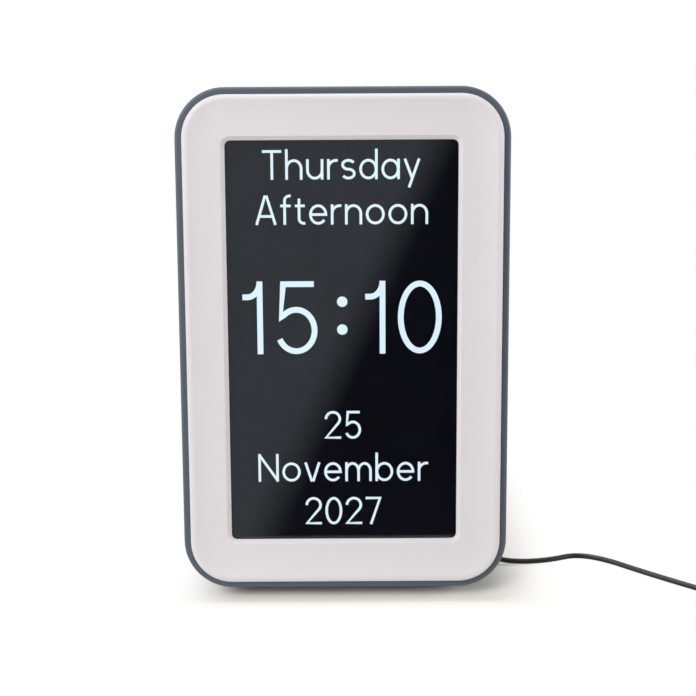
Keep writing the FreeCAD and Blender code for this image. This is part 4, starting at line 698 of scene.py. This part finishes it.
def head_places(node):
    """Middle of each screw head of a node whose heads face the back, along the leaning face."""
    points = [(v.co.dot(ACROSS), v.co.dot(UP), v.co.dot(OUT)) for v in nodes[node].data.vertices]
    level = min(p[2] for p in points)
    groups = []
    for across, up, out in points:
        if out > level + RECESS_PROUD:
            continue
        near = next((g for g in groups if math.dist(g[0], (across, up)) < HEAD_REACH), None)
        if near:
            near.append((across, up))
        else:
            groups.append([(across, up)])
    middles = [[(min(values) + max(values)) / 2 for values in zip(*group)] for group in groups]
    return [(across, up, level) for across, up in middles]


def make_painted_recess_shade():
    bm = bmesh.new()
    arm, half = RECESS_ARM, RECESS_HALF_WIDTH
    outline = []
    for turn in range(4):
        quarter = Matrix.Rotation(math.radians(90 * turn), 2)
        outline += [quarter @ Vector(p) for p in ((arm, -half), (arm, half), (half, half))]
    for across, up, level in head_places("case_screws"):
        places = [on_face(across + p.x, up + p.y, level - RECESS_PROUD) for p in outline]
        bm.faces.new([bm.verts.new(place) for place in places])
    # The near-black colour is painted shade of the recess hollow, not the screws' own metal colour.
    dark = metal("painted_recess_shade", linear(22, 22, 24), 0.5)
    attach(link_mesh("painted_screw_recess_shade", bm, dark), "case")


make_painted_recess_shade()


# Stage: floor, what the display's glass mirrors, lamps and surroundings
FLOOR_SIDE = 8.0
FLOOR_COLOUR = linear(250, 245, 235)
# The floor shows its shadows in a field round the clock: its corners, and how fast it fades past them
FIELD_LOW = (-0.040, -0.0135, 0.0)
FIELD_HIGH = (0.055, 0.085, 0.0)
FADE_LOW = (34.0, 84.0, 0.0)
FADE_HIGH = (30.0, 14.0, 0.0)


def make_floor():
    """A pale floor that keeps shadows near the clock and fades to white for the camera farther away."""
    finish = Finish("floor")
    tree = finish.tree

    def vector(operation, first, second=(0, 0, 0)):
        return finish.add("VectorMath", {0: first, 1: second}, operation=operation)

    def beyond(first, second, fade):
        over = vector("MAXIMUM", vector("SUBTRACT", first, second).outputs[0]).outputs[0]
        return vector("MULTIPLY", over, fade).outputs[0]

    low = beyond(FIELD_LOW, finish.place, FADE_LOW)
    high = beyond(finish.place, FIELD_HIGH, FADE_HIGH)
    distance = vector("LENGTH", vector("ADD", low, high).outputs[0]).outputs["Value"]
    smooth = finish.add("MapRange", {"Value": distance}, interpolation_type="SMOOTHSTEP")
    far = smooth.outputs["Result"]
    camera = finish.add("LightPath").outputs["Is Camera Ray"]
    factor = finish.add("Math", {0: far, 1: camera}, operation="MULTIPLY").outputs["Value"]
    grain = finish.noise(60 * MM, detail=3)
    tone = finish.blend(finish.spread(grain, 0, 1), FLOOR_COLOUR, shaded(FLOOR_COLOUR, 0.985))
    finish.set(Base_Color=tone, Roughness=0.7, Specular_IOR_Level=0.25)
    white = finish.add("Emission").outputs["Emission"]
    mixed = finish.add("MixShader", {0: factor, 1: finish.shader.outputs["BSDF"], 2: white})
    tree.links.new(mixed.outputs["Shader"], tree.nodes["Material Output"].inputs["Surface"])
    bm = bmesh.new()
    bmesh.ops.create_grid(bm, x_segments=1, y_segments=1, size=FLOOR_SIDE / 2)
    floor = link_mesh("floor", bm, finish.material)


CARD_BEFORE = 0.2
CARD_HALF = 0.25
CARD_TOP = 0.35
CARD_EDGE_TOP = Vector((0.056, 0.228))
CARD_EDGE_FOOT = Vector((-0.0475, -0.001))
CARD_SOFT = 0.011
CARD_BRIGHT = 0.44
CARD_DARK = 0.008


def make_card():
    """A wall that only mirrors show: bright at the left, dark at the right, with a soft edge between."""
    finish = Finish("card")
    tree = finish.tree
    along = (CARD_EDGE_TOP - CARD_EDGE_FOOT).normalized()
    side = (along.y, 0, -along.x)
    offset = CARD_EDGE_FOOT.x * side[0] + CARD_EDGE_FOOT.y * side[2]
    sockets = {0: finish.place, 1: side}
    right = finish.add("VectorMath", sockets, operation="DOT_PRODUCT").outputs["Value"]
    level = finish.spread(right, CARD_BRIGHT, CARD_DARK, offset - CARD_SOFT, offset + CARD_SOFT)
    glow = finish.add("Emission", {"Color": linear(236, 248, 255), "Strength": level})
    tree.links.new(glow.outputs["Emission"], tree.nodes["Material Output"].inputs["Surface"])
    bm = bmesh.new()
    corners = [(-CARD_HALF, 0), (CARD_HALF, 0), (CARD_HALF, CARD_TOP), (-CARD_HALF, CARD_TOP)]
    bm.faces.new([bm.verts.new((x, -CARD_BEFORE, z)) for x, z in corners])
    card = link_mesh("mirrored_card", bm, finish.material)
    card.visible_camera = False
    card.visible_diffuse = False
    card.visible_shadow = False


# name, place, size, power in watts, colour
LAMPS = [
    ("key_lamp", (-0.75, -0.75, 0.85), 0.7, 9.1, (0.93, 0.96, 1.0)),
    ("left_lamp", (-1.1, -0.55, 0.35), 0.6, 2.4, (0.84, 0.86, 1.0)),
    ("upper_lamp", (-0.1, -0.35, 1.1), 0.6, 1.5, (1.0, 1.0, 0.85)),
    ("back_lamp", (0.0, 0.155, 1.0), 0.06, 2.4, (1.0, 0.97, 0.92)),
    ("right_lamp", (1.1, -0.1, 0.4), 0.5, 5.8, (0.94, 0.94, 1.0)),
]
LAMP_TARGET = Vector((0, 0, 0.08))
SURROUNDINGS = 0.32


def make_lights():
    for name, place, side, power, colour in LAMPS:
        data = bpy.data.lights.new(name, "AREA")
        data.size = side
        data.energy = power
        data.color = colour
        lamp = bpy.data.objects.new(name, data)
        lamp.location = place
        lamp.rotation_euler = (LAMP_TARGET - lamp.location).to_track_quat("-Z", "Y").to_euler()
        bpy.context.scene.collection.objects.link(lamp)


def make_surroundings():
    """White for what the camera sees, mirrors and looks through; an even grey light for the rest."""
    world = bpy.data.worlds.new("surroundings")
    world.use_nodes = True
    bpy.context.scene.world = world
    tree = world.node_tree
    paths = tree.nodes.new("ShaderNodeLightPath")
    seen = paths.outputs["Is Camera Ray"]
    for name in ("Is Glossy Ray", "Is Transmission Ray"):
        either = tree.nodes.new("ShaderNodeMath")
        either.operation = "MAXIMUM"
        tree.links.new(seen, either.inputs[0])
        tree.links.new(paths.outputs[name], either.inputs[1])
        seen = either.outputs["Value"]
    level = tree.nodes.new("ShaderNodeMapRange")
    level.inputs["To Min"].default_value = SURROUNDINGS
    level.inputs["To Max"].default_value = 1.0
    tree.links.new(seen, level.inputs["Value"])
    tree.links.new(level.outputs["Result"], tree.nodes["Background"].inputs["Strength"])
    tree.nodes["Background"].inputs["Color"].default_value = (1, 1, 1, 1)


make_floor()
make_card()
make_lights()
make_surroundings()
bpy.context.scene.view_settings.view_transform = "Standard"
